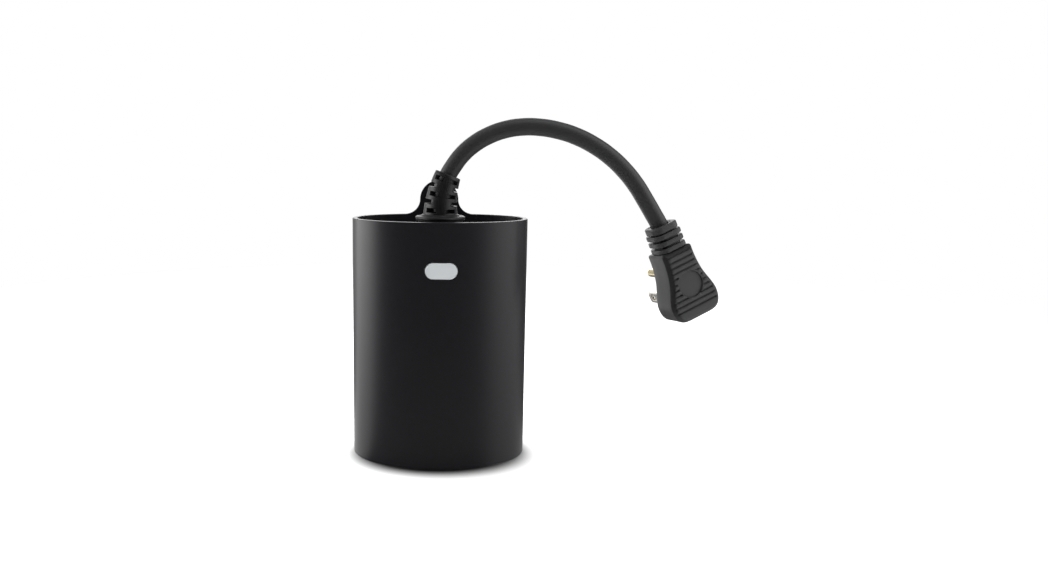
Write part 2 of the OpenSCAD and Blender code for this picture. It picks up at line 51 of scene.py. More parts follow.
OVAL_HALF_W, OVAL_HALF_D, OVAL_POWER = 45.5, 29.0, 2.1
BODY_H, WALL = 125.0, 2.5
LEDGE_W, LEDGE_H, LEDGES_Z = 1.6, 2.2, (19.2, 110.0)
RIM_ROLL, HOLE_ROLL, EDGE_BAND = 0.35, 0.12, 0.35
TAB_R, TAB_FLARE = 10.6, 8.0
TAB_Z = BODY_H + TAB_FLARE
HANG_HOLE_R, HANG_HOLE_Z = 3.0, TAB_Z + 1.5
BUTTON_W, BUTTON_H, BUTTON_Z, BUTTON_GAP = 16.2, 8.4, 101.2, 0.25

OUTLET_X, FACE_Z, SLOT_Y, EARTH_Y = 16.5, 14.0, -4.5, 7.4
BASE_SCREWS = [(x, y) for x in (-35.3, 35.3) for y in (-4.5, 4.5)]
HINGE_Y, HINGE_Z, KNUCKLE_R, HINGE_PIN_R = 17.6, 11.5, 2.2, 0.8
LID_LOW, LID_HIGH = 10.2, 12.2

CORD_D, BORE_R = 9.0, 4.6
CAP_LOW, CAP_TOP, CAP_GAP = 113.0, 116.0, 0.25
FLANGE_R, BOSS_TOP, FLANGE_TOP = 13.0, 123.4, 126.0
RELIEF_BEND, RELIEF_LEN = 60.0, 22.0
RELIEF_FOOT_R, RELIEF_TOP_R, SLOT_FLOOR_R, SLOT_LEVELS = 9.0, 6.75, 5.1, 5

PLUG_PLACE = (Matrix.Translation((128.5, 0, 91)) @ Matrix.Rotation(radians(-23), 4, "Y")
              @ Matrix.Rotation(radians(15), 4, "Z"))
PLUG_FACE, PLUG_BACK, PLUG_NECK = -8.65, 7.95, 19.5
POCKET_Z, POCKET_FLOOR = -2.0, 2.0
BEVEL_W, BEVEL_D = 2.0, 2.3
RIDGE_PITCH, GROOVE_COUNT, GROOVE_D, FIRST_GROOVE_Z = 2.92, 11, 0.8, 17.2
DISC_R, DISC_D = 7.2, 1.0
BLADE_X, BLADE_Z, BLADE_LEN, BLADE_ROOT = 6.35, -7.4, 18.3, 0.5
EARTH_Z, EARTH_R, EARTH_LEN = 4.5, 2.4, 21.4
RIB_START, RIB_PITCH, COLLAR_Z = 20.9, 3.65, 31.8

# Contact shade on the floor: an ellipse, in shares of its half axes from where it is dark to where it ends
SHADE_HALF_W, SHADE_SHIFT, SHADE_START, SHADE_END = 43.0, 0.2, 0.84, 1.28

# The cord's route in the XZ plane, from inside the cap to the plug
CORD_ROUTE = [(0, 112), (0, 119), (0, 126), (0.9, 136.4), (3.6, 146.4), (6.8, 152), (11.2, 157.8),
              (17.3, 163.2), (24.8, 167.6), (33.1, 170.6), (41.8, 172), (51, 171.9), (60.4, 170.4),
              (69.6, 167.6), (78.8, 163.2), (87.4, 157.5), (95.1, 150.6), (101.6, 143), (107, 134.9),
              (111.6, 127.5), (115.4, 121.2), (119.4, 112.4), (123, 103.9)]


# ---------- shader groups

def linear(hex_tone):
    """Linear colour of a web tone such as "1c1c1e"."""
    parts = [int(hex_tone[i:i + 2], 16) / 255 for i in (0, 2, 4)]
    return [c / 12.92 if c <= 0.04045 else ((c + 0.055) / 1.055) ** 2.4 for c in parts] + [1.0]


def shader_group(name, inputs, outputs):
    """A shader node group whose inputs start at the numbers or vectors given. Its outputs are numbers, but a
    normal is a vector."""
    tree = bpy.data.node_groups.new(name, "ShaderNodeTree")
    tree.interface.new_socket("Where", in_out="INPUT", socket_type="NodeSocketVector")
    for label, start in inputs.items():
        kind = "Vector" if isinstance(start, tuple) else "Float"
        tree.interface.new_socket(label, in_out="INPUT", socket_type="NodeSocket" + kind).default_value = start
    for label in outputs:
        kind = "Vector" if label == "Normal" else "Float"
        tree.interface.new_socket(label, in_out="OUTPUT", socket_type="NodeSocket" + kind)
    return tree, tree.nodes.new("NodeGroupInput").outputs, tree.nodes.new("NodeGroupOutput").inputs


def wire(tree, kind, inputs=None, **settings):
    """Adds a node, sets its properties, fills its sockets with links or values, and returns its outputs."""
    node = tree.nodes.new(kind)
    for key, value in settings.items():
        setattr(node, key, value)
    for key, value in (inputs or {}).items():
        socket = node.inputs[key]
        if isinstance(value, bpy.types.NodeSocket):
            tree.links.new(value, socket)
        else:
            socket.default_value = value
    return node.outputs


def maths(tree, operation, *values):
    return wire(tree, "ShaderNodeMath", dict(enumerate(values)), operation=operation)[0]


def vectors(tree, operation, *values, **named):
    """Outputs of a vector operation, "Vector" and "Value"."""
    inputs = {**dict(enumerate(values)), **named}
    return wire(tree, "ShaderNodeVectorMath", inputs, operation=operation)


def mapped(tree, value, low, high, to_low=0.0, to_high=1.0, kind="LINEAR"):
    """Moves a number from one range to another, and holds it at both ends."""
    return wire(tree, "ShaderNodeMapRange", {
        "Value": value, "From Min": low, "From Max": high, "To Min": to_low, "To Max": to_high},
        interpolation_type=kind)[0]


def mixed(tree, share, a, b):
    """Mixes two colours."""
    return wire(tree, "ShaderNodeMix", {"Factor": share, "A": a, "B": b}, data_type="RGBA")["Result"]


def noise(tree, where, scale, detail=2.0, roughness=0.5):
    return wire(tree, "ShaderNodeTexNoise", {
        "Vector": where, "Scale": scale, "Detail": detail, "Roughness": roughness})["Fac"]


def swayed(tree, middle, field, amount):
    """A number that moves up and down with a noise field."""
    return maths(tree, "ADD", middle, maths(tree, "MULTIPLY", maths(tree, "SUBTRACT", field, 0.5), amount))


def give(tree, sockets, **results):
    """Links results to the sockets of the same names."""
    for label, result in results.items():
        tree.links.new(result, sockets[label.replace("_", " ")])


def moulded_group():
    """Fine spark-eroded grain, slow changes in gloss, and a slight drift in tone."""
    tree, given, put = shader_group("moulded grain", {
        "Grain Scale": 2600.0, "Grain Depth": 0.2, "Roughness": 0.4, "Unevenness": 0.08, "Tone Drift": 0.12},
        ("Roughness", "Tone", "Normal"))
    where = given["Where"]
    grain = noise(tree, where, given["Grain Scale"], 3.0, 0.6)
    bump = wire(tree, "ShaderNodeBump", {
        "Strength": given["Grain Depth"], "Distance": 0.00008, "Height": grain})
    give(tree, put, Normal=bump[0],
         Roughness=swayed(tree, given["Roughness"], noise(tree, where, 38.0, 3.0), given["Unevenness"]),
         Tone=swayed(tree, 1.0, noise(tree, where, 17.0, 1.0), given["Tone Drift"]))
    return tree


def marks_group():
    """Faint hairline scuffs and dust specks from handling, as a mask."""
    tree, given, put = shader_group("handling marks", {"Amount": 0.3}, ("Mask",))
    stretched = wire(tree, "ShaderNodeMapping", {
        "Vector": given["Where"], "Rotation": (0.3, 0.5, 0.9), "Scale": (1.0, 14.0, 3.0)})[0]
    hair = maths(tree, "GREATER_THAN", noise(tree, stretched, 160.0, 4.0, 0.7), 0.69)
    speck = maths(tree, "GREATER_THAN", noise(tree, given["Where"], 900.0, 1.0), 0.76)
    area = mapped(tree, noise(tree, given["Where"], 30.0), 0.45, 0.7)
    both = maths(tree, "MULTIPLY", maths(tree, "MAXIMUM", hair, speck), area)
    give(tree, put, Mask=maths(tree, "MULTIPLY", both, given["Amount"]))
    return tree


def drawn_group():
    """Drawing lines on metal: stretched streaks that change gloss and tilt the surface slightly."""
    tree, given, put = shader_group("drawn metal", {
        "Stretch": (1.0, 0.04, 1.0), "Roughness": 0.25, "Streaks": 0.2}, ("Roughness", "Normal"))
    along = vectors(tree, "MULTIPLY", given["Where"], given["Stretch"])["Vector"]
    streak = noise(tree, along, 3200.0, 3.0, 0.7)
    bump = wire(tree, "ShaderNodeBump", {"Strength": 0.25, "Distance": 0.00005, "Height": streak})
    give(tree, put, Normal=bump[0],
         Roughness=swayed(tree, given["Roughness"], streak, given["Streaks"]))
    return tree


MOULDED, MARKS, DRAWN = moulded_group(), marks_group(), drawn_group()


# ---------- finishes

def new_finish(name, **sockets):
    """A material with a Principled BSDF whose plain sockets are set, and its Object coordinates."""
    finish = bpy.data.materials.new(name)
    finish.use_nodes = True
    tree = finish.node_tree
    shader = tree.nodes["Principled BSDF"]
    for key, value in sockets.items():
        shader.inputs[key.replace("_", " ")].default_value = value
    where = wire(tree, "ShaderNodeTexCoord")["Object"]
    return finish, tree, shader, where


def dress(tree, shader, where, base, dirt, marks, skin):
    """Joins a finish's tone, handling marks, gloss and grain to its shader."""
    worn = wire(tree, "ShaderNodeGroup", {"Where": where, "Amount": marks}, node_tree=MARKS)["Mask"]
    give(tree, shader.inputs, Base_Color=mixed(tree, worn, base, linear(dirt)), Roughness=skin["Roughness"],
         Normal=skin["Normal"])


def moulded(name, tone, dust="8d8d88", grain=2600.0, depth=0.2, roughness=0.4, uneven=0.08, drift=0.12,
            marks=0.15, zones=(), **sockets):
    """Moulded plastic or rubber: grain, uneven gloss, and a trace of scuffs and dust. A zone is (tests, its
    tone), and a test is (direction, middle, half width) in metres."""
    finish, tree, shader, where = new_finish(name, **sockets)
    base = linear(tone)
    for tests, own in zones:
        mask = 1.0
        for aim, middle, half in tests:
            along = vectors(tree, "DOT_PRODUCT", where, aim)["Value"]
            apart = maths(tree, "ABSOLUTE", maths(tree, "SUBTRACT", along, middle))
            mask = maths(tree, "MULTIPLY", mask, maths(tree, "LESS_THAN", apart, half))
        base = mixed(tree, mask, base, linear(own))
    skin = wire(tree, "ShaderNodeGroup", {
        "Where": where, "Grain Scale": grain, "Grain Depth": depth, "Roughness": roughness,
        "Unevenness": uneven, "Tone Drift": drift}, node_tree=MOULDED)
    base = vectors(tree, "SCALE", base if zones else base[:3], Scale=skin["Tone"])["Vector"]
    dress(tree, shader, where, base, dust, marks, skin)
    return finish


def metal(name, tone, roughness, streaks=0.2, stain="5d4a35"):
    """Drawn or stamped metal with streaks and a few darker handling marks."""
    finish, tree, shader, where = new_finish(name, Metallic=1.0)
    skin = wire(tree, "ShaderNodeGroup", {
        "Where": where, "Roughness": roughness, "Streaks": streaks}, node_tree=DRAWN)
    dress(tree, shader, where, linear(tone), stain, 0.25, skin)
    return finish


def plug_test(axis, middle, half):
    """Zone test along one of the plug's own axes, in millimetres."""
    aim = PLUG_PLACE.to_3x3().col[axis]
    return tuple(aim), (PLUG_PLACE.translation.dot(aim) + middle) * MM, half * MM


def frame_test(aim, middle, half):
    """Zone test along a direction of the frame, in millimetres."""
    return aim, middle * MM, half * MM


PLAIN_DUST = "8d8d88"
LINE_TONE, NEUTRAL_TONE, EARTH_TONE = "141414", "e6e6e2", "2f8a3a"

# slot, name, tone, dust tone, grain scale, grain depth, roughness
PLAIN_MOULDINGS = [
    ("housing_black", "inner moulding black", "171718", PLAIN_DUST, 1800, 0.3, 0.5),
    ("plug_bridge", "plug bridge", "262628", PLAIN_DUST, 1800, 0.25, 0.5),
    ("cover_black", "cover black", "151517", PLAIN_DUST, 2200, 0.25, 0.4),
    ("seal_rubber", "seal rubber", "2b2b2b", PLAIN_DUST, 1300, 0.4, 0.7),
    ("seal_grey", "seal grey", "77797b", "55554f", 1300, 0.4, 0.65),
    ("chassis_white", "chassis white", "dcdcd6", "a09a88", 2000, 0.2, 0.5),
    ("relay_blue", "relay case blue", "2a62b8", "8aa0c4", 1700, 0.2, 0.35),
    ("capacitor_blue", "capacitor sleeve", "24365e", "6f7d9c", 2100, 0.2, 0.3),
    ("fuse_brown", "fuse body", "8a5a2c", "b08f6c", 1900, 0.2, 0.45),
    ("terminal_green", "terminal green", "2f9a52", "84b894", 1700, 0.2, 0.42),
    ("part_dark", "component black", "242426", PLAIN_DUST, 2500, 0.3, 0.55),
    ("cable_grey", "ribbon cable", "9aa0a6", "6d7074", 1500, 0.2, 0.45),
    ("led_clear", "led lens", "dfe8f0", "b5bcc4", 3000, 0.05, 0.12),
    ("line_black", "line core", LINE_TONE, PLAIN_DUST, 2000, 0.2, 0.4),
    ("neutral_white", "neutral core", NEUTRAL_TONE, "a9a69c", 2000, 0.2, 0.4),
    ("earth_green", "earth core", EARTH_TONE, "86b08b", 2000, 0.2, 0.4),
]
FINISHES = {slot: moulded(*settings) for slot, *settings in PLAIN_MOULDINGS}
for slot, name, tone, dust in (("board_green", "board green", "1f6a3c", "7da88c"),
                               ("board_blue", "board blue", "1d5c8a", "7b9fb8")):
    FINISHES[slot] = moulded(name, tone, dust, 1400, 0.15, 0.3, Coat_Weight=0.4, Coat_Roughness=0.15)
FINISHES.update({
    "shell_black": moulded("housing shell black", "17161a", PLAIN_DUST, 2400, 0.22, 0.36, marks=0.03),
    "gland_black": moulded("gland black", "171718", PLAIN_DUST, 2000, 0.25, 0.42, marks=0.04),
    "cord_jacket": moulded("cord jacket", "2a2a2b", PLAIN_DUST, 1800, 0.12, 0.43, uneven=0.06, marks=0.02),
    "plug_black": moulded("plug moulding", "333334", PLAIN_DUST, 1500, 0.3, 0.42, 0.12, marks=0.06, zones=[
        # painted shade: a darker tone 0.35 to 2.45 mm behind the face, in the grooves and over the bevel band
        ([plug_test(1, -7.25, 1.05)], "1b1b1c"),
        # the shallow disc's floor, inside that band, keeps the plain tone
        ([plug_test(1, -7.65, 0.15), plug_test(0, 0, 7.3), plug_test(2, 0, 7.3)], "333334"),
        # a slightly darker tone over the ribs and collar
        ([plug_test(2, 27, 7.4)], "2f2f30")]),
    "button_grey": moulded("button grey", "bdc1c3", "9b9b96", 2800, 0.1, 0.42, drift=0.05, marks=0.03,
                           Subsurface_Weight=0.08, Subsurface_Radius=(0.002, 0.002, 0.002)),
    "plug_cores": moulded("plug cores", LINE_TONE, grain=2000, zones=[
        ([plug_test(0, -6, 5)], NEUTRAL_TONE), ([plug_test(0, 0, 1.2)], EARTH_TONE)]),
    "outlet_cores": moulded("outlet cores", LINE_TONE, grain=2000, zones=[
        ([frame_test((1, 0, 0), 24, 5)], NEUTRAL_TONE), ([frame_test((1, 0, 0), 0, 4)], EARTH_TONE)]),
    "winding": moulded("transformer core and winding", "242426", grain=2500, zones=[
        ([frame_test((1, 0, 0), -18, 5.4), frame_test((0, 0, 1), 79, 3.9)], "d8b41c")]),
    "blade_nickel": metal("blade nickel", "dedad2", 0.2),
    "pin_brass": metal("pin brass", "e8dcb4", 0.2, stain="9a7a4a"),
    "contact_bronze": metal("contact bronze", "c58a3e", 0.3, stain="5a3a1c"),
    "tin_plate": metal("tin plate", "c9c8c4", 0.32, streaks=0.3),
    "screw_steel": metal("screw steel", "b8bbc0", 0.28),
    "spring_steel": metal("spring steel", "a9acb2", 0.24),
})


# ---------- mesh tools

class Skin:
    """Points and faces of one piece, in millimetres."""

    def __init__(self):
        self.points, self.faces = [], []

    def add(self, points):
        start = len(self.points)
        self.points.extend(Vector(p) for p in points)
        return list(range(start, len(self.points)))

    def rows(self, rows, closed=True, around=False):
        """Quads between rows of points; closed rows are rings, and around joins the last row to the first."""
        ids = [self.add(row) for row in rows]
        pairs = list(zip(ids, ids[1:])) + ([(ids[-1], ids[0])] if around else [])
        for a, b in pairs:
            for i in range(len(a) - (0 if closed else 1)):
                j = (i + 1) % len(a)
                self.faces.append((a[i], a[j], b[j], b[i]))
        return ids


def piece(name, skin, slot, nodes, place=None, sharp=38.0, body="housing"):
    """Makes a mesh object of a skin, with its doubles merged and its faces outward, riding on a body."""
    mesh = bpy.data.meshes.new(name)
    mesh.from_pydata([tuple(p) for p in skin.points], [], skin.faces)
    if place is not None:
        mesh.transform(place)
    form = bmesh.new()
    form.from_mesh(mesh)
    bmesh.ops.remove_doubles(form, verts=form.verts, dist=0.002)
    bmesh.ops.dissolve_degenerate(form, edges=form.edges, dist=0.0005)
    bmesh.ops.delete(form, geom=[v for v in form.verts if not v.link_faces], context="VERTS")
    bmesh.ops.recalc_face_normals(form, faces=form.faces)
    if form.calc_volume(signed=True) < 0:
        bmesh.ops.reverse_faces(form, faces=form.faces)
    bmesh.ops.scale(form, vec=(MM, MM, MM), verts=form.verts)
    shade(form, mesh, sharp)
    return settle(bpy.data.objects.new(name, mesh), slot, nodes, body)


def shade(form, mesh, sharp):
    """Shades a form smooth between its sharp edges, and writes it to its mesh."""
    for edge in form.edges:
        edge.smooth = edge.calc_face_angle(0) < radians(sharp)
    for face in form.faces:
        face.smooth = True
    form.to_mesh(mesh)
    form.free()


def paint(data, slot):
    """Gives a mesh or curve one finish."""
    data.materials.clear()
    data.materials.append(FINISHES[slot])


def settle(obj, slot, nodes=(), body="housing"):
    """Links a finished piece, gives it its finish and body, and says which CAD parts it stands for."""
    bpy.context.scene.collection.objects.link(obj)
    paint(obj.data, slot)
    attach(obj, body)
    if nodes:
        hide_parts(*nodes)
    return obj


def arc(cx, cy, radius, start, end, steps=12):
    """Points on an arc between two angles in degrees."""
    turns = [radians(start + (end - start) * i / steps) for i in range(steps + 1)]
    return [(cx + radius * cos(t), cy + radius * sin(t)) for t in turns]


def circle(cx, cy, radius, steps):
    return arc(cx, cy, radius, 0, 360, steps)[:-1]


def pill(w, h):
    """Pill outline, anticlockwise."""
    return (arc((w - h) / 2, 0, h / 2, -90, 90, 14) + arc((h - w) / 2, 0, h / 2, 90, 270, 14))[:-1]


def rounded(hw, hh, r, steps=6):
    """Rectangle with rounded corners, anticlockwise, from its half width and half height."""
    return (arc(hw - r, hh - r, r, 0, 90, steps) + arc(r - hw, hh - r, r, 90, 180, steps)
            + arc(r - hw, r - hh, r, 180, 270, steps) + arc(hw - r, r - hh, r, 270, 360, steps))


def even_steps(points, spacing):
    """The same closed line with points about one spacing apart, keeping its corners."""
    out = []
    for a, b in zip(points, points[1:] + points[:1]):
        n = max(1, round(dist(a, b) / spacing))
        out += [(a[0] + (b[0] - a[0]) * i / n, a[1] + (b[1] - a[1]) * i / n) for i in range(n)]
    return out


def moved(points, x, y):
    return [(u + x, v + y) for u, v in points]


def hole_at(points, x, y):
    """Outline moved and run the other way round, so that it bounds a hole."""
    return moved(points, x, y)[::-1]


def smooth_line(points, steps):
    """Catmull-Rom curve through points of any dimension."""
    last, out = len(points) - 1, []
    for i in range(last):
        a, b, c, d = (np.array(points[j], float) for j in (max(i - 1, 0), i, i + 1, min(i + 2, last)))
        for k in range(steps):
            t = k / steps
            out.append(tuple(0.5 * (2 * b + (c - a) * t + (2 * a - 5 * b + 4 * c - d) * t * t
                                    + (3 * b - a - 3 * c + d) * t ** 3)))
    return out + [tuple(points[-1])]


def offset(chain, closed, distance):
    """Moves a chain of points sideways by a distance, into the material on its left."""
    shifted, last = [], len(chain) - 1
    for i, p in enumerate(chain):
        sides = []
        if closed or i:
            sides.append((chain[i - 1], p))
        if closed or i < last:
            sides.append((p, chain[(i + 1) % (last + 1)]))
        normals = []
        for a, b in sides:
            d = Vector((b[0] - a[0], b[1] - a[1])).normalized()
            normals.append(Vector((-d.y, d.x)))
        m = normals[0] if len(normals) == 1 else (normals[0] + normals[1]) / (1 + normals[0].dot(normals[1]))
        shifted.append((p[0] + m.x * distance, p[1] + m.y * distance))
    return shifted


def inside(points, loops):
    """Even-odd test of an array of points against closed loops."""
    hit = np.zeros(len(points), bool)
    x, y = points[:, 0], points[:, 1]
    for loop in loops:
        for (ax, ay), (bx, by) in zip(loop, loop[1:] + loop[:1]):
            if ay != by:
                hit ^= ((ay > y) != (by > y)) & (x < (bx - ax) * (y - ay) / (by - ay) + ax)
    return hit


def reach(points, loops):
    """Distance of each point from the nearest line of the loops."""
    best = np.full(len(points), 1e9)
    for loop in loops:
        for a, b in zip(loop, loop[1:] + loop[:1]):
            a, d = np.array(a), np.subtract(b, a)
            t = np.clip(((points - a) @ d) / max(d @ d, 1e-12), 0, 1)
            best = np.minimum(best, np.linalg.norm(points - a - t[:, None] * d, axis=1))
    return best


def fill(chains, filler=(), clear=0.5, lines=()):
    """Triangles that fill the chains, through the filler points and along the lines."""
    points, edges, loops, open_run = [], [], [], []
    for chain, closed in chains:
        start = len(points)
        points += chain
        edges += [(start + i, start + i + 1) for i in range(len(chain) - 1)]
        if closed:
            edges.append((start + len(chain) - 1, start))
            loops.append(list(chain))
        else:
            open_run += chain
    if open_run:
        loops.append(open_run)
    for line in lines:
        start = len(points)
        points += line
        edges += [(start + i, start + i + 1) for i in range(len(line) - 1)]
    if len(filler):
        spare = np.array(filler)
        near = np.array(points)
        gap = np.min(np.linalg.norm(spare[:, None] - near[None], axis=2), axis=1)
        points += [tuple(p) for p in spare[gap > clear]]
    made = delaunay_2d_cdt([Vector(p) for p in points], edges, [], 0, 1e-5)
    flat = np.array([tuple(p) for p in made[0]])
    middles = np.array([flat[list(t)].mean(axis=0) for t in made[2]])
    keep = inside(middles, loops)
    return [tuple(p) for p in flat], [t for t, k in zip(made[2], keep) if k]


def rolled_sheet(skin, chains, thickness, roll, place, filler=(), clear=0.8, steps=3, lines=()):
    """Two parallel faces joined by rolled edges. A chain is (points, closed) or (points, closed, its own
    roll), with the material on its left. place(u, v, depth) gives the point in space, at depth 0 on the
    outer face."""
    chains = [(*chain, roll)[:3] for chain in chains]
    inner = [(offset(chain, closed, own), closed) for chain, closed, own in chains]
    flat, triangles = fill(inner, filler, clear, lines)
    outer = skin.add([place(u, v, 0) for u, v in flat])
    back = skin.add([place(u, v, thickness) for u, v in flat])
    skin.faces += [tuple(outer[i] for i in t) for t in triangles]
    skin.faces += [tuple(back[i] for i in reversed(t)) for t in triangles]
    quarter = [pi / 2 * k / steps for k in range(steps + 1)]
    for chain, closed, own in chains:
        path = [(own * (1 - sin(a)), own * (1 - cos(a))) for a in quarter]
        path += [(own * (1 - cos(a)), thickness - own * (1 - sin(a))) for a in quarter]
        skin.rows([[place(u, v, depth) for u, v in offset(chain, closed, side)] for side, depth in path],
                  closed=closed)


def as_given(x, y, z):
    return x, y, z


def slab(skin, outline, holes, low, high, roll, to=as_given, steps=3):
    """Flat plate between two heights, its outline anticlockwise and its holes clockwise."""
    chains = [(outline, True)] + [(hole, True) for hole in holes]
    rolled_sheet(skin, chains, high - low, roll, lambda u, v, d: to(u, v, high - d), steps=steps)


def lathe(skin, profile, sides=64, to=as_given):
    """Turns a profile of (radius, height) points round the height axis."""
    turns = [2 * pi * k / sides for k in range(sides)]
    skin.rows([[to(r * cos(t), r * sin(t), h) for t in turns] for r, h in profile])


def block(skin, x, y, z, roll=0.3, corner=0.6):
    """Box with rounded upright corners and rolled top and bottom edges."""
    outline = rounded((x[1] - x[0]) / 2, (y[1] - y[0]) / 2, corner, 3)
    slab(skin, moved(outline, (x[0] + x[1]) / 2, (y[0] + y[1]) / 2), [], *z, roll, steps=2)


# ---------- Geometry Nodes tools

def node_tree(name, sizes):
    """A Geometry Nodes tree with named sizes and a finish; returns it with its inputs and its outputs."""
    tree = bpy.data.node_groups.new(name, "GeometryNodeTree")
    for label, kind in [("Geometry", "Geometry"), *sizes, ("Finish", "Material")]:
        tree.interface.new_socket(label, in_out="INPUT", socket_type="NodeSocket" + kind)
    tree.interface.new_socket("Geometry", in_out="OUTPUT", socket_type="NodeSocketGeometry")
    return tree, tree.nodes.new("NodeGroupInput").outputs, tree.nodes.new("NodeGroupOutput").inputs


def end_tree(tree, given, put, geometry):
    """Realizes the instances and sets the finish."""
    real = wire(tree, "GeometryNodeRealizeInstances", {"Geometry": geometry})[0]
    done = wire(tree, "GeometryNodeSetMaterial", {"Geometry": real, "Material": given["Finish"]})[0]
    give(tree, put, Geometry=done)


def join(tree, *parts):
    """Joins geometry."""
    both = tree.nodes.new("GeometryNodeJoinGeometry")
    for part in parts:
        tree.links.new(part, both.inputs[0])
    return both.outputs[0]


def grown(name, tree, sizes, slot, nodes=(), points=((0, 0, 0),), place=None):
    """Runs a Geometry Nodes tree on a mesh of points and keeps the result as a plain mesh."""
    seed = bpy.data.meshes.new(name + " seed")
    seed.from_pydata([tuple(c * MM for c in p) for p in points], [], [])
    grower = bpy.data.objects.new(name + " seed", seed)
    bpy.context.scene.collection.objects.link(grower)
    modifier = grower.modifiers.new("grow", "NODES")
    modifier.node_group = tree
    sockets = {item.name: item.identifier for item in tree.interface.items_tree if item.in_out == "INPUT"}
    for label, value in {**sizes, "Finish": FINISHES[slot]}.items():
        modifier[sockets[label]] = value
    evaluated = grower.evaluated_get(bpy.context.evaluated_depsgraph_get())
    mesh = bpy.data.meshes.new_from_object(evaluated)
    mesh.name = name
    bpy.data.objects.remove(grower)
    if place is not None:
        mesh.transform(place)
    form = bmesh.new()
    form.from_mesh(mesh)
    bmesh.ops.remove_doubles(form, verts=form.verts, dist=1e-6)
    bmesh.ops.recalc_face_normals(form, faces=form.faces)
    shade(form, mesh, 38.0)
    return settle(bpy.data.objects.new(name, mesh), slot, nodes)


# ---------- the sleeve

OVAL_TURNS = np.linspace(0, 2 * pi, 2881)
OVAL_STEPS = np.linspace(0, 2 * pi, 121)[:-1]


def oval_at(turn, inset=0.0):
    """Point of the oval at a turn from the right end, anticlockwise seen from above."""
    c, s = np.cos(turn), np.sin(turn)
    x = (OVAL_HALF_W - inset) * np.sign(c) * np.abs(c) ** (2 / OVAL_POWER)
    y = (OVAL_HALF_D - inset) * np.sign(s) * np.abs(s) ** (2 / OVAL_POWER)
    return x, y


def oval_outline(inset):
    return [tuple(float(c) for c in oval_at(turn, inset)) for turn in OVAL_STEPS]


OVAL_X, OVAL_Y = oval_at(OVAL_TURNS)
OVAL_RUN = np.concatenate([[0], np.cumsum(np.hypot(np.diff(OVAL_X), np.diff(OVAL_Y)))])
OVAL_GIRTH = float(OVAL_RUN[-1])


def run_at(x, back):
    """Distance round the oval of a point on its back or front at x."""
    half = (OVAL_TURNS <= pi) if back else (OVAL_TURNS >= pi)
    xs, runs = OVAL_X[half], OVAL_RUN[half]
    order = np.argsort(xs)
    return float(np.interp(x, xs[order], runs[order]))


def sleeve_point(run, z, depth):
    """Point of the sleeve's wall. Near the front and back the depth goes straight in, so holes stay true."""
    turn = float(np.interp(run, OVAL_RUN, OVAL_TURNS))
    x, y = (float(v) for v in oval_at(turn))
    blend = min(max((abs(x) - 20) / 14, 0), 1)
    blend = blend * blend * (3 - 2 * blend)
    inner_x = x * (1 - depth / OVAL_HALF_W * blend)
    share = min(abs(inner_x) / (OVAL_HALF_W - depth), 1) ** (OVAL_POWER / 2)
    inner_y = (OVAL_HALF_D - depth) * sqrt(1 - share * share) ** (2 / OVAL_POWER)
    return inner_x, copysign(inner_y, y), z


def sleeve():
    """The oval wall with its hanging tab and button window, and two ledges inside it."""
    skin = Skin()
    level = [OVAL_GIRTH * i / 120 for i in range(121)]
    left, right = run_at(-TAB_R - TAB_FLARE, True), run_at(TAB_R + TAB_FLARE, True)
    flare_left = arc(-TAB_R - TAB_FLARE, TAB_Z, TAB_FLARE, 270, 360, 10)
    arch = arc(0, TAB_Z, TAB_R, 180, 0, 30)
    flare_right = arc(TAB_R + TAB_FLARE, TAB_Z, TAB_FLARE, 180, 270, 10)
    tab = flare_left + arch[1:-1] + flare_right
    top = [(r, BODY_H) for r in reversed(level) if r > left + 0.8]
    top += [(run_at(x, True), z) for x, z in tab]
    top += [(r, BODY_H) for r in reversed(level) if r < right - 0.8]
    bottom = [(r, 0.0) for r in level]
    hole = [(run_at(x, True), z + HANG_HOLE_Z) for x, z in circle(0, 0, HANG_HOLE_R, 32)]
    opening = even_steps(pill(BUTTON_W + 2 * BUTTON_GAP, BUTTON_H + 2 * BUTTON_GAP), 0.9)
    window = [(run_at(x, False), z + BUTTON_Z) for x, z in reversed(opening)]
    filler = [(r, z) for r in level for z in np.linspace(7, 119, 15)]
    filler += [(run_at(x, True), z) for x in np.linspace(-8, 8, 9) for z in np.linspace(122, 141, 12)]
    filler = [p for p in filler if not inside(np.array([p]), [window, hole])[0]]
    bands = [offset(chain, False, RIM_ROLL + EDGE_BAND) for chain in (bottom, top)]
    for chain, own in ((hole, RIM_ROLL), (window, HOLE_ROLL)):
        band = offset(chain, True, own + EDGE_BAND)
        bands.append(band + band[:1])
    chains = [(bottom, False), (top, False), (hole, True), (window, True, HOLE_ROLL)]
    rolled_sheet(skin, chains, WALL, RIM_ROLL, sleeve_point, filler, clear=1.0, steps=4, lines=bands)
    reach_in, soft = WALL + LEDGE_W, 0.3
    for low in LEDGES_Z:
        high = low + LEDGE_H
        section = [(WALL - 0.2, low), (reach_in - soft, low), (reach_in, low + soft), (reach_in, high - soft),
                   (reach_in - soft, high), (WALL - 0.2, high)]
        skin.rows([[(*oval_at(turn, inset), z) for inset, z in section] for turn in OVAL_STEPS], around=True)
    piece("housing_sleeve", skin, "shell_black", ["outer_shell"])


sleeve()


# ---------- cap, gland and cord

def cap():
    """Plate under the rim, with the gland's boss above it and the clamp's seat below."""
    skin = Skin()
    foot = CAP_TOP - 0.1
    slab(skin, oval_outline(WALL + CAP_GAP), [], CAP_LOW, CAP_TOP, 0.4)
    lathe(skin, [(BORE_R, foot), (14.0, foot), (12.9, 116.25), (12.0, 117.0), (11.6, 118.2), (11.5, 119.5),
                 (11.5, 123.0), (11.2, BOSS_TOP), (BORE_R, BOSS_TOP), (BORE_R, foot)])
    block(skin, (-13, 13), (0.3, 8), (104, CAP_LOW + 0.2))
    piece("top_cap_plate", skin, "housing_black", ["top_cap"])


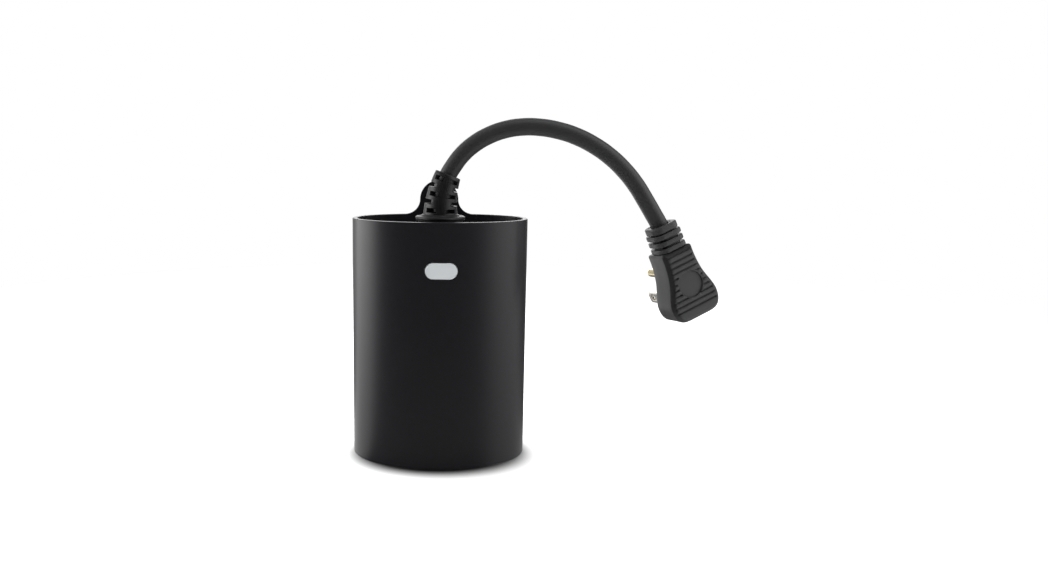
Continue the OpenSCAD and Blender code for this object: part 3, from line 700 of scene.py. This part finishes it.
def gland():
    """Round flange with a groove under its lip and a low step round the cord's sleeve."""
    skin = Skin()
    edge = FLANGE_R
    lathe(skin, [(BORE_R, BOSS_TOP), (edge - 0.9, BOSS_TOP), (edge - 0.5, 123.55), (edge - 0.35, 123.9),
                 (edge - 0.35, 124.35), (edge - 0.6, 124.55), (edge - 0.2, 124.7), (edge, 124.95),
                 (edge, 125.35), (edge - 0.25, 125.75), (edge - 0.75, FLANGE_TOP), (10.6, FLANGE_TOP),
                 (10.2, 126.15), (9.9, 126.6), (9.2, 127.0), (BORE_R, 127.0), (BORE_R, BOSS_TOP)], 96)
    piece("cord_gland", skin, "gland_black", ["gland_flange"])


def bent(s, angle, radius):
    """Point on a sleeve that bends over to the right: s along it, the angle from the front, the radius."""
    a = s / RELIEF_BEND
    centre = Vector((RELIEF_BEND * (1 - cos(a)), 0, FLANGE_TOP + RELIEF_BEND * sin(a)))
    across = Vector((cos(a), 0, -sin(a)))
    return centre + radius * (sin(angle) * across + cos(angle) * Vector((0, -1, 0)))


def cord_relief():
    """Tapered sleeve with slots in turn at its corners and at its sides."""
    pitch = RELIEF_LEN / (SLOT_LEVELS + 0.5)
    spans = [[(16, 56), (124, 164), (196, 236), (304, 344)], [(36, 144), (216, 324)]]
    edge_s, edge_a = 0.14, 1.3

    def ramp(value, low, high, edge):
        rise, drop = ((gap + edge) / (2 * edge) for gap in (value - low, high - value))
        return min(max(rise, 0), 1) * min(max(drop, 0), 1)

    def outer(s, degrees):
        base = RELIEF_FOOT_R + (RELIEF_TOP_R - RELIEF_FOOT_R) * s / RELIEF_LEN
        depth = 0.0
        for level in range(SLOT_LEVELS):
            low = level * pitch + pitch / 2
            in_level = ramp(s, low, low + pitch / 2, edge_s)
            if in_level:
                depth += in_level * max(ramp(degrees, a, b, edge_a) for a, b in spans[level % 2])
        return base - (base - SLOT_FLOOR_R) * depth

    stops = {0.0, RELIEF_LEN - 0.45}
    for level in range(SLOT_LEVELS):
        for at in (level * pitch + pitch / 2, (level + 1) * pitch):
            stops |= {at - edge_s, at, at + edge_s}
        stops |= {level * pitch + pitch * 0.25, level * pitch + pitch * 0.75}
    marks = {a + d for pair in spans for span in pair for a in span for d in (-edge_a, 0, edge_a)}
    marks |= set(range(0, 360, 4)) - {m for m in range(0, 360, 4) if any(abs(m - k) < 1.6 for k in marks)}
    angles = sorted(marks)
    rows = [[bent(s, radians(a), outer(s, a)) for a in angles] for s in sorted(stops)]
    for s, less in ((RELIEF_LEN - 0.2, 0.12), (RELIEF_LEN - 0.05, 0.35), (RELIEF_LEN, 0.65),
                    (RELIEF_LEN, RELIEF_TOP_R - BORE_R)):
        rows.append([bent(s, radians(a), RELIEF_TOP_R - less) for a in angles])
    rows.append([bent(0, radians(a), BORE_R) for a in angles])
    skin = Skin()
    skin.rows(rows, around=True)
    return piece("cord_relief", skin, "gland_black", ["strain_relief"], sharp=50.0)


def cord():
    """The cord from the cap to the plug, one smooth curve along its route."""
    curve = bpy.data.curves.new("cord_line", "CURVE")
    curve.dimensions = "3D"
    curve.bevel_depth = CORD_D / 2 * MM
    curve.bevel_resolution = 10
    curve.use_fill_caps = True
    line = curve.splines.new("BEZIER")
    line.bezier_points.add(len(CORD_ROUTE) - 1)
    line.resolution_u = 8
    for point, (x, z) in zip(line.bezier_points, CORD_ROUTE):
        point.co = (x * MM, 0, z * MM)
        point.handle_left_type = point.handle_right_type = "AUTO"
    return settle(bpy.data.objects.new("cord_line", curve), "cord_jacket", ["cord"])


cap()
gland()
relief = cord_relief()
cord_line = cord()


# ---------- plug

PLUG_EDGE = [(9.0, 18.2), (9.0, 14.5), (9.2, 11.5), (9.6, 8.0), (10.25, 4.5), (11.3, 1.0), (12.6, -2.5),
             (13.75, -6.0), (14.25, -9.0), (14.1, -12.0), (13.4, -14.5), (12.0, -16.6), (9.8, -17.9),
             (6.5, -18.35), (3.0, -18.4), (0.0, -18.4)]


def plug_outline():
    """Outline of the plug seen from its ridged side, anticlockwise."""
    side = smooth_line(PLUG_EDGE, 5)
    top = arc(9.0 - 1.3, PLUG_NECK - 1.3, 1.3, 0, 90, 4)
    right = [(x, z) for x, z in reversed(side)] + top[1:]
    left = [(-x, z) for x, z in reversed(right)]
    return even_steps([tuple(p) for p in right + left[:-1]], 1.2)


def groove_depth(z):
    """Depth of the grooves across the plug's face, with sloping walls and crowned ridges between them."""
    depth = 0.0
    for k in range(GROOVE_COUNT):
        away = abs(z - (FIRST_GROOVE_Z - k * RIDGE_PITCH))
        depth = max(depth, float(np.interp(away, [0.22, 0.55, 0.95, 1.4], [1.0, 0.32, 0.1, 0.0])))
    return GROOVE_D * depth


def plug_body():
    """Plug moulding with a ridged face, a shallow disc in it, and a pocket for the insert."""
    skin = Skin()
    edge = plug_outline()
    to_plug = lambda x, z, y: PLUG_PLACE @ Vector((x, y, z))

    # Ridged face: rows along the grooves, a bevel round the outline and a shallow dish in the middle
    rows = []
    for k in range(GROOVE_COUNT):
        for step in (-0.95, -0.55, -0.22, 0.22, 0.55, 0.95):
            z = FIRST_GROOVE_Z - k * RIDGE_PITCH + step
            rows += [(x, z) for x in np.arange(-14.0, 14.01, 0.7)]
        rows += [(x, FIRST_GROOVE_Z - (k + 0.5) * RIDGE_PITCH) for x in np.arange(-14.0, 14.01, 1.4)]
    rows += [(x, z) for x in np.arange(-13.0, 13.01, 1.3) for z in (-17.2, -16.4, 18.7)]
    bevels = [offset(edge, True, d) for d in (0.35, 1.0, 1.6, 2.05, 2.4)]
    rims = [circle(0, 0, r, 72) for r in (DISC_R - 0.35, DISC_R, DISC_R + 0.3)]
    rows = np.array(rows)
    rows = rows[inside(rows, [edge])]
    off_rim = np.abs(np.hypot(rows[:, 0], rows[:, 1]) - DISC_R)
    off_edge = reach(rows, [edge])
    rows = rows[(off_rim > 0.75) & (off_edge > 0.6)]
    loops = [loop + loop[:1] for loop in bevels + rims]
    flat, triangles = fill([(edge, True)], rows, 0.3, loops)
    spread = reach(np.array(flat), [edge])

    def face_y(x, z, away):
        bevel = PLUG_FACE + BEVEL_D * (1 - away / BEVEL_W)
        level = PLUG_FACE + groove_depth(z)
        r = hypot(x, z)
        if r < DISC_R + 0.3:
            dish = PLUG_FACE + DISC_D * min(max((DISC_R + 0.05 - r) / 0.4, 0), 1)
            level = dish if r < DISC_R else max(dish, PLUG_FACE + 0.02)
        gap = bevel - level
        round_off = 0.25
        if gap > round_off:
            return bevel
        if gap < -round_off:
            return level
        return level + (gap + round_off) ** 2 / (4 * round_off)

    ids = skin.add([to_plug(x, z, face_y(x, z, d)) for (x, z), d in zip(flat, spread)])
    skin.faces += [tuple(ids[i] for i in t) for t in triangles]

    # Sides with a rolled back edge, then the back face round the bridge's pocket
    side_rows = [(PLUG_FACE + BEVEL_D, 0), (PLUG_FACE + BEVEL_D + 0.3, -0.05), (-3, 0), (2, 0), (6.6, 0),
                 (7.3, 0.15), (7.75, 0.5), (PLUG_BACK, 1.05)]
    skin.rows([[to_plug(x, z, y) for x, z in offset(edge, True, inset)] for y, inset in side_rows])
    pocket = hole_at(rounded(8.2, 11.0, 1.5, 4), 0, POCKET_Z)
    back, back_faces = fill([(offset(edge, True, 1.05), True), (pocket, True)])
    ids = skin.add([to_plug(x, z, PLUG_BACK) for x, z in back])
    skin.faces += [tuple(ids[i] for i in t) for t in back_faces]
    walls = skin.rows([[to_plug(x, z, y) for x, z in pocket] for y in (PLUG_BACK, POCKET_FLOOR)])
    skin.faces.append(tuple(walls[-1]))
    return piece("plug_moulding", skin, "plug_black", ["plug_body"], sharp=50.0)


def plug_bridge():
    """Insert that holds the blades and the earth pin in the plug's pocket."""
    skin = Skin()
    slots = [hole_at(rounded(0.78, 3.2, 0.2, 2), x, BLADE_Z) for x in (-BLADE_X, BLADE_X)]
    slots.append(hole_at(circle(0, 0, 2.12, 32), 0, EARTH_Z))
    slab(skin, moved(rounded(8.1, 10.9, 1.4, 4), 0, POCKET_Z), slots, POCKET_FLOOR, PLUG_BACK, 0.2,
         to=lambda u, v, w: (u, w, v))
    return piece("plug_insert", skin, "plug_bridge", ["plug_bridge"], PLUG_PLACE)


def blades():
    """Two flat blades with rounded tips, a hole near each tip and softened edges."""
    skin = Skin()
    tip, half_w, half_t, tip_r = PLUG_BACK + BLADE_LEN, 3.175, 0.75, 1.9
    corners = [arc(tip - tip_r, side * (half_w - tip_r), tip_r, 45 * side - 45, 45 * side + 45, 6)
               for side in (-1, 1)]
    outline = [(BLADE_ROOT, -half_w), *corners[0], *corners[1], (BLADE_ROOT, half_w)]
    hole = hole_at(circle(0, 0, 1.6, 28), tip - 4.2, 0)
    for x in (-BLADE_X, BLADE_X):
        slab(skin, outline, [hole], -half_t, half_t, 0.16, to=lambda u, v, w, x=x: (x + w, u, BLADE_Z + v))
    return piece("blades", skin, "blade_nickel", ["plug_blades"], PLUG_PLACE)


def earth_pin():
    """Round pin with a domed tip."""
    skin = Skin()
    end = PLUG_BACK + EARTH_LEN
    shoulder = end - EARTH_R
    turns = np.linspace(0.12, pi / 2, 9)
    dome = [(EARTH_R * cos(t), shoulder + EARTH_R * sin(t)) for t in turns]
    lathe(skin, [(0, BLADE_ROOT), (2.1, BLADE_ROOT), (2.1, PLUG_BACK), (EARTH_R - 0.15, PLUG_BACK),
                 (EARTH_R, PLUG_BACK + 0.15), (EARTH_R, shoulder), *dome[:-1], (0, end)], 40,
          lambda x, y, z: (x, z, EARTH_Z - y))
    return piece("earth_pin", skin, "pin_brass", ["plug_ground_pin"], PLUG_PLACE)


RIB_SIZES = ("Width", "Depth", "Corner", "Reach", "Thickness", "Roll", "Pitch")


def rib_tree():
    """Rounded rings in a row up a neck: a rounded bar swept round a rounded rectangle, then repeated."""
    kinds = [(label, "Float") for label in RIB_SIZES] + [("Count", "Int")]
    tree, given, put = node_tree("ribs on a neck", kinds)

    def rounded_loop(width, height, corner, steps):
        loop = wire(tree, "GeometryNodeCurvePrimitiveQuadrilateral", {"Width": width, "Height": height})[0]
        return wire(tree, "GeometryNodeFilletCurve", {"Curve": loop, "Radius": corner, "Count": steps},
                    mode="POLY")[0]

    path = rounded_loop(given["Width"], given["Depth"], given["Corner"], 10)
    bar = rounded_loop(given["Reach"], given["Thickness"], given["Roll"], 4)
    ring = wire(tree, "GeometryNodeCurveToMesh", {"Curve": path, "Profile Curve": bar})[0]
    step = wire(tree, "ShaderNodeCombineXYZ", {"Z": given["Pitch"]})[0]
    line = wire(tree, "GeometryNodeMeshLine", {"Count": given["Count"], "Offset": step})[0]
    rings = wire(tree, "GeometryNodeInstanceOnPoints", {"Points": line, "Instance": ring})[0]
    end_tree(tree, given, put, rings)
    return tree


def plug_neck():
    """Neck of the plug's strain relief. Its ribs and collar are grown by nodes."""
    skin = Skin()
    foot, end = PLUG_NECK - 0.3, 33.4
    rows = []
    for z, hw, hh in ((foot, 6.7, 6.0), (PLUG_NECK + 0.4, 6.3, 5.6), (30.0, 5.9, 5.3), (32.6, 5.9, 5.3),
                      (33.2, 5.7, 5.1), (end, 5.2, 4.9)):
        rows.append([(x, y, z) for x, y in rounded(hw, hh, 3.6, 8)])
    rows += [[(x, y, z) for x, y in circle(0, 0, BORE_R, 36)] for z in (end, foot)]
    skin.rows(rows, around=True)
    return piece("plug_neck", skin, "gland_black", ["plug_strain_relief"], PLUG_PLACE)


plug_parts = [plug_body(), plug_bridge(), blades(), earth_pin(), plug_neck()]
RIBS = rib_tree()
for name, start, sizes, pitch, count in (
        ("plug_ribs", RIB_START, (13.8, 11.8, 3.2, 2.6, 2.5, 0.5), RIB_PITCH, 3),
        ("plug_collar", COLLAR_Z, (12.6, 10.6, 3.2, 2.8, 3.6, 0.7), 1, 1)):
    lengths = {label: size * MM for label, size in zip(RIB_SIZES, (*sizes, pitch))}
    plug_parts.append(grown(
        name, RIBS, {**lengths, "Count": count}, "plug_black",
        place=Matrix.Translation(PLUG_PLACE @ Vector((0, 0, start)) * MM) @ PLUG_PLACE.to_3x3().to_4x4()))


# ---------- button

def button():
    """Pill-shaped key, slightly crowned, with a rolled edge and a flange behind the wall."""
    skin = Skin()
    outline = pill(BUTTON_W - 0.3, BUTTON_H - 0.3)
    crown = lambda u, v: 0.18 * max(0, 1 - (u / 8.1) ** 2) * max(0, 1 - (v / 4.2) ** 2)
    front = -OVAL_HALF_D
    filler = [(x, z) for x in np.arange(-7, 7.1, 1.0) for z in np.arange(-3, 3.1, 1.0)]
    rolled_sheet(skin, [(outline, True)], 3.5, 0.28,
                 lambda u, v, d: (u, front + d - (crown(u, v) - 0.12 if d < 0.01 else 0), BUTTON_Z + v),
                 filler, clear=0.7, steps=5)
    flange = pill(BUTTON_W + 3.4, BUTTON_H + 3.4)
    slab(skin, flange, [], 0, 1.0, 0.2, to=lambda u, v, w: (u, front + 3.4 + w, BUTTON_Z - v))
    lathe(skin, [(0, 4.3), (2, 4.3), (2, 4.7), (1.9, 4.8), (0, 4.8)], 24,
          lambda x, y, z: (x, front + z, BUTTON_Z + y))
    piece("button_key", skin, "button_grey", ["button_cap"], body="button")


button()


# ---------- outlets, covers and hinges

def along_x(u, v, w):
    """Puts an outline in the YZ plane, with its thickness along X."""
    return w, u, v


def outlet_plate():
    """Plate with two sets of slots on raised faces, countersunk screw places, wells and hinge ears."""
    skin = Skin()
    outline = oval_outline(WALL + CAP_GAP)
    slots, wells = [], []
    for x in (-OUTLET_X, OUTLET_X):
        for side, half in ((-BLADE_X, 3.5), (BLADE_X, 4.1)):
            slots.append(hole_at(rounded(0.95, half, 0.3, 3), x + side, SLOT_Y))
            wells.append(hole_at(rounded(2.6, 5, 0.4, 3), x + side, SLOT_Y))
        slots.append(hole_at(circle(0, 0, 2.7, 32), x, EARTH_Y))
        wells.append(hole_at(circle(0, 0, 4.2, 32), x, EARTH_Y))
    for low, high, r in ((FACE_Z, FACE_Z + 2.05, 2.9), (FACE_Z + 2, FACE_Z + 4, 1.5)):
        holes = [hole_at(circle(0, 0, r, 24), x, y) for x, y in BASE_SCREWS]
        slab(skin, outline, slots + holes, low, high, 0.2)
    for i, x in enumerate((-OUTLET_X, OUTLET_X)):
        raised = moved(rounded(9.6, 10.4, 3, 8), x, 1)
        slab(skin, raised, slots[3 * i:3 * i + 3], FACE_Z - 0.35, FACE_Z + 0.1, 0.15)
        tower = moved(rounded(13, 14, 1.0, 3), x, 0)
        slab(skin, tower, wells[3 * i:3 * i + 3], FACE_Z + 3.9, 31.0, 0.2)
        for ear in (x - 10.7, x + 10.7):
            bearing = arc(HINGE_Y, HINGE_Z, KNUCKLE_R, 180, 360, 16)
            bearing += [(HINGE_Y + KNUCKLE_R, FACE_Z + 0.2), (HINGE_Y - KNUCKLE_R, FACE_Z + 0.2)]
            slab(skin, bearing, [hole_at(circle(0, 0, 0.84, 20), HINGE_Y, HINGE_Z)], ear - 1.3, ear + 1.3,
                 0.25, to=along_x)
    piece("outlet_plate", skin, "housing_black", ["outlet_base"])


def cover(side, x):
    """Lid with a raised frame, a ribbed finger lip and two hinge knuckles."""
    skin = Skin()
    slab(skin, moved(rounded(12.5, 15, 3), x, 0), [], LID_LOW, LID_HIGH, 0.45)
    slab(skin, moved(rounded(11.2, 13.4, 2.4), x, 0), [hole_at(rounded(10.0, 12.2, 1.6), x, 0)],
         LID_LOW - 0.3, LID_LOW + 0.15, 0.12)
    slab(skin, moved(rounded(5, 1.6, 1.1), x, -15.6), [], LID_LOW, 11.6, 0.4)
    for rib in (-3.0, -1.5, 0.0, 1.5, 3.0):
        block(skin, (x + rib - 0.3, x + rib + 0.3), (-16.9, -15.3), (9.95, 10.5), 0.12, 0.25)
    for low, high in ((-9, -4), (4, 9)):
        bore = hole_at(circle(0, 0, 0.9, 20), HINGE_Y, HINGE_Z)
        slab(skin, circle(HINGE_Y, HINGE_Z, KNUCKLE_R, 32), [bore], x + low, x + high, 0.25, to=along_x)
        block(skin, (x + low, x + high), (14, 16.1), (LID_LOW, LID_HIGH), 0.2, 0.45)
    piece("cover_plate_" + side, skin, "cover_black", ["cover_" + side], body="cover_" + side)
    seal = Skin()
    opening = hole_at(rounded(10.1, 11.6, 2), x, 0)
    slab(seal, moved(rounded(11.5, 13, 3), x, 0), [opening], LID_HIGH, 13.8, 0.5)
    piece("cover_seal_" + side, seal, "seal_grey", ["cover_gasket_" + side], body="cover_" + side)
    pin, r, start, end, soft = Skin(), HINGE_PIN_R, x - 12, x + 12, 0.15
    profile = [(0, start), (r - soft, start), (r, start + soft), (r, end - soft), (r - soft, end), (0, end)]
    lathe(pin, profile, 24, lambda u, v, w: (w, HINGE_Y + u, HINGE_Z + v))
    piece("hinge_rod_" + side, pin, "spring_steel", ["hinge_pin_" + side])


def spring_tree():
    """A torsion spring: a close coil of round wire with one straight leg."""
    tree, given, put = node_tree("torsion spring", [
        ("Coil Radius", "Float"), ("Wire Radius", "Float"), ("Width", "Float"), ("Turns", "Float"),
        ("Leg", "Vector")])
    coil = wire(tree, "GeometryNodeCurveSpiral", {
        "Resolution": 20, "Rotations": given["Turns"], "Start Radius": given["Coil Radius"],
        "End Radius": given["Coil Radius"], "Height": given["Width"]})[0]
    start = wire(tree, "ShaderNodeCombineXYZ", {"X": given["Coil Radius"]})[0]
    end = vectors(tree, "ADD", start, given["Leg"])["Vector"]
    leg = wire(tree, "GeometryNodeCurvePrimitiveLine", {"Start": start, "End": end})[0]
    section = wire(tree, "GeometryNodeCurvePrimitiveCircle", {
        "Resolution": 10, "Radius": given["Wire Radius"]})[0]
    round_wire = wire(tree, "GeometryNodeCurveToMesh", {
        "Curve": join(tree, coil, leg), "Profile Curve": section, "Fill Caps": True})[0]
    end_tree(tree, given, put, round_wire)
    return tree


SCREW_SIZES = ("Head Radius", "Neck Radius", "Head Height", "Shank Radius", "Length", "Recess")


def screw_tree():
    """A cross-recessed screw on every point, its head's face at the point and its shank along +Z."""
    tree, given, put = node_tree("screws on points", [(label, "Float") for label in SCREW_SIZES])
    head = wire(tree, "GeometryNodeMeshCone", {
        "Vertices": 32, "Radius Top": given["Neck Radius"], "Radius Bottom": given["Head Radius"],
        "Depth": given["Head Height"]})[0]
    narrow = maths(tree, "MULTIPLY", given["Recess"], 0.16)
    deep = maths(tree, "MULTIPLY", given["Head Height"], 1.2)
    cut = tree.nodes.new("GeometryNodeMeshBoolean")
    cut.operation, cut.solver = "DIFFERENCE", "EXACT"
    tree.links.new(head, cut.inputs["Mesh 1"])
    for long_side, short_side in ((given["Recess"], narrow), (narrow, given["Recess"])):
        size = wire(tree, "ShaderNodeCombineXYZ", {"X": long_side, "Y": short_side, "Z": deep})[0]
        tree.links.new(wire(tree, "GeometryNodeMeshCube", {"Size": size})[0], cut.inputs["Mesh 2"])
    tip = maths(tree, "MULTIPLY", given["Shank Radius"], 0.6)
    shank = wire(tree, "GeometryNodeMeshCone", {
        "Vertices": 24, "Radius Top": tip, "Radius Bottom": given["Shank Radius"], "Depth": given["Length"]})[0]
    lift = maths(tree, "MULTIPLY", given["Head Height"], 0.9)
    lift = wire(tree, "ShaderNodeCombineXYZ", {"Z": lift})[0]
    shank = wire(tree, "GeometryNodeTransform", {"Geometry": shank, "Translation": lift})[0]
    screws = wire(tree, "GeometryNodeInstanceOnPoints", {
        "Points": given["Geometry"], "Instance": join(tree, cut.outputs["Mesh"], shank)})[0]
    end_tree(tree, given, put, screws)
    return tree


outlet_plate()
SPRING = spring_tree()
for side, x in (("left", -OUTLET_X), ("right", OUTLET_X)):
    cover(side, x)
    grown("torsion_spring_" + side, SPRING, {
        "Coil Radius": 1.45 * MM, "Wire Radius": 0.3 * MM, "Width": 6.2 * MM, "Turns": 9.0,
        "Leg": (0.0, 2.2 * MM, 0.0)}, "spring_steel", ["cover_spring_" + side],
        place=Matrix.Translation(Vector((x - 3.1, HINGE_Y, HINGE_Z)) * MM)
        @ Matrix(((0, 0, 1, 0), (1, 0, 0, 0), (0, 1, 0, 0), (0, 0, 0, 1))))

SCREWS = screw_tree()
BACKWARD, FORWARD = (Matrix.Rotation(radians(turn), 4, "X") for turn in (-90, 90))

# Piece, CAD part, (head radius, neck radius, head height, shank radius, length), turn, points of the heads
SCREW_SETS = [
    ("base_screw_set", "base_screws", (2.6, 1.4, 1.8, 1.25, 12.2), None,
     [(x, y, FACE_Z + 0.2) for x, y in BASE_SCREWS]),
    ("clamp_screw_set", "clamp_screws", (2.4, 2.2, 1.7, 1.05, 11.6), BACKWARD,
     [(x, -108.0, -8.2) for x in (-9.5, 9.5)]),
    ("board_screw_set", "board_screws", (2.3, 2.1, 1.5, 1.05, 7.1), BACKWARD,
     [(x, -z, 4.5) for x in (-25, 25) for z in (44, 94)]),
    ("control_screw_set", "control_screws", (1.9, 1.7, 1.4, 0.85, 4.7), FORWARD,
     [(x, z, 16.9) for x in (-14, 14) for z in (87, 107)]),
]
for name, node_name, sizes, place, points in SCREW_SETS:
    grown(name, SCREWS, {label: size * MM for label, size in zip(SCREW_SIZES, (*sizes, sizes[0] * 1.2))},
          "screw_steel", [node_name], points, place)


# ---------- finishes of the CAD parts that stay

STAYING = {
    "seal_rubber": ["top_gasket", "base_gasket"],
    "seal_grey": ["button_seal"],
    "board_green": ["control_board", "main_board"],
    "board_blue": ["radio_module"],
    "part_dark": ["tact_switch"],
    "led_clear": ["status_led"],
    "tin_plate": ["radio_shield", "neutral_contacts", "ground_contacts"],
    "cable_grey": ["board_cable"],
    "chassis_white": ["inner_chassis", "cord_clamp", "contact_retainer"],
    "relay_blue": ["relays", "varistor"],
    "capacitor_blue": ["capacitors"],
    "fuse_brown": ["fuse"],
    "terminal_green": ["terminal_block"],
    "contact_bronze": ["line_contacts"],
    "line_black": ["line_wire"],
    "neutral_white": ["neutral_wire"],
    "earth_green": ["ground_wire"],
    "plug_cores": ["plug_wires"],
    "outlet_cores": ["outlet_leads"],
    "winding": ["transformer"],
}
for slot, node_names in STAYING.items():
    for node_name in node_names:
        paint(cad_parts[node_name].data, slot)


# ---------- camera, light and floor

scene = bpy.context.scene
scene.view_settings.view_transform = "Standard"

camera = bpy.data.objects.new("camera", bpy.data.cameras.new("camera"))
scene.collection.objects.link(camera)
scene.camera = camera
turn, pitch, roll = radians(-1.393), radians(7.617), radians(0.438)
right = Vector((cos(turn), sin(turn), 0))
ahead = Vector((-sin(turn) * cos(pitch), cos(turn) * cos(pitch), -sin(pitch)))
up = right.cross(ahead)
axes = (right * cos(roll) + up * sin(roll), up * cos(roll) - right * sin(roll), -ahead)
camera.matrix_world = (Matrix.Translation(Vector((-9.62, -395.68, 158.44)) * MM)
                       @ Matrix(axes).transposed().to_4x4())
camera.data.lens, camera.data.sensor_width = 26.16, 36
camera.data.shift_x, camera.data.shift_y = 0.0802, -0.0331
camera.data.clip_start = 0.01


def area_light(name, at, aim, width, height, power):
    """Soft box that lights surfaces, but isn't itself seen or mirrored."""
    lamp = bpy.data.lights.new(name, "AREA")
    lamp.shape, lamp.size, lamp.size_y, lamp.energy = "RECTANGLE", width, height, power
    obj = bpy.data.objects.new(name, lamp)
    scene.collection.objects.link(obj)
    obj.location = at
    obj.rotation_euler = (Vector(aim) - Vector(at)).to_track_quat("-Z", "Y").to_euler()
    obj.visible_camera = obj.visible_glossy = False


area_light("left bank", (-1.2, 0.35, 0.6), (0, 0, 0.08), 1.3, 0.9, 16)
area_light("back bank", (0.1, 1.6, 0.8), (0, 0, 0.05), 2.4, 1.2, 30)
area_light("right strip", (1.1, -0.15, 0.4), (0, 0, 0.08), 0.3, 0.7, 3)
area_light("top bank", (-0.1, 0.1, 1.4), (0, 0, 0), 1.4, 1.4, 34)

# What gloss mirrors: (direction, dot where it starts, dot where it is full, brightness). A soft box on the
# left, a weaker one on the right, the two halves of a pale backdrop, one box high on the right and one
# straight behind. The front stays dark.
MIRRORED = [((-0.995, 0.1, 0.0), 0.83, 0.95, 3.3), ((0.93, -0.22, 0.3), 0.7, 0.95, 1.4),
            ((-0.5, 0.866, 0.0), 0.2, 0.9, 0.5), ((0.5, 0.866, 0.0), 0.2, 0.9, 0.12),
            ((0.45, -0.1, 0.88), 0.86, 0.99, 0.9), ((0.0, 0.985, 0.17), 0.93, 0.985, 2.2)]


def mirrored(tree, direction, dark):
    """Brightness that gloss sees in a direction."""
    total = dark
    for aim, start, full, bright in MIRRORED:
        along = vectors(tree, "DOT_PRODUCT", direction, aim)["Value"]
        total = maths(tree, "ADD", mapped(tree, along, start, full, 0.0, bright, "SMOOTHSTEP"), total)
    return total


world = bpy.data.worlds.new("studio")
scene.world = world
world.use_nodes = True
world.cycles.sampling_method = "NONE"
sky = world.node_tree
rays = wire(sky, "ShaderNodeLightPath")
toward = wire(sky, "ShaderNodeTexCoord")["Generated"]
other = wire(sky, "ShaderNodeMix", {
    "Factor": rays["Is Glossy Ray"], "A": 0.3, "B": mirrored(sky, toward, 0.02)})["Result"]
level = wire(sky, "ShaderNodeMix", {"Factor": rays["Is Camera Ray"], "A": other, "B": 1.0})["Result"]
sky.links.new(level, sky.nodes["Background"].inputs["Color"])

floor_mesh = bpy.data.meshes.new("floor")
floor_mesh.from_pydata([(-4, -4, 0), (4, -4, 0), (4, 4, 0), (-4, 4, 0)], [], [(0, 1, 2, 3)])
floor = bpy.data.objects.new("floor", floor_mesh)
scene.collection.objects.link(floor)
paper, tree, shader, where = new_finish("pale studio floor", Roughness=0.8)
paper.cycles.emission_sampling = "NONE"
tone = mapped(tree, noise(tree, where, 60.0), 0.0, 1.0, 0.9, 0.93)

# Contact shade: the paper darkens in a narrow band in front of the oval's foot
ellipse = (1 / (SHADE_HALF_W * MM), 1 / (OVAL_HALF_D * MM), 0)
foot = vectors(tree, "MULTIPLY_ADD", where, ellipse, (0, SHADE_SHIFT, 0))["Vector"]
lit = mapped(tree, vectors(tree, "LENGTH", foot)["Value"], SHADE_START, SHADE_END, kind="SMOOTHSTEP")
give(tree, shader.inputs, Base_Color=maths(tree, "MULTIPLY", tone, lit))

# Far off the paper turns plain white. In gloss it carries on the soft boxes' pattern, weaker near the object.
rays = wire(tree, "ShaderNodeLightPath")
apart = vectors(tree, "LENGTH", where)["Value"]
far = mapped(tree, apart, 0.25, 0.7)
white = wire(tree, "ShaderNodeEmission", {"Color": (1, 1, 1, 1)})[0]
outward = vectors(tree, "NORMALIZE", where)["Vector"]
pattern = maths(tree, "MULTIPLY", mirrored(tree, outward, 0.0), mapped(tree, apart, 0.05, 0.9, 0.3))
glow = maths(tree, "ADD", pattern, mapped(tree, apart, 0.05, 0.45, 0.16, 0.005))
sheen = wire(tree, "ShaderNodeEmission", {"Color": glow})[0]


def either(share, first, second):
    return wire(tree, "ShaderNodeMixShader", {0: share, 1: first, 2: second})[0]


plain = either(maths(tree, "MULTIPLY", rays["Is Camera Ray"], far), shader.outputs[0], white)
top_side = either(rays["Is Glossy Ray"], plain, sheen)
clear = wire(tree, "ShaderNodeBsdfTransparent")[0]
below = wire(tree, "ShaderNodeNewGeometry")["Backfacing"]
give(tree, tree.nodes["Material Output"].inputs, Surface=either(below, top_side, clear))
floor_mesh.materials.append(paper)
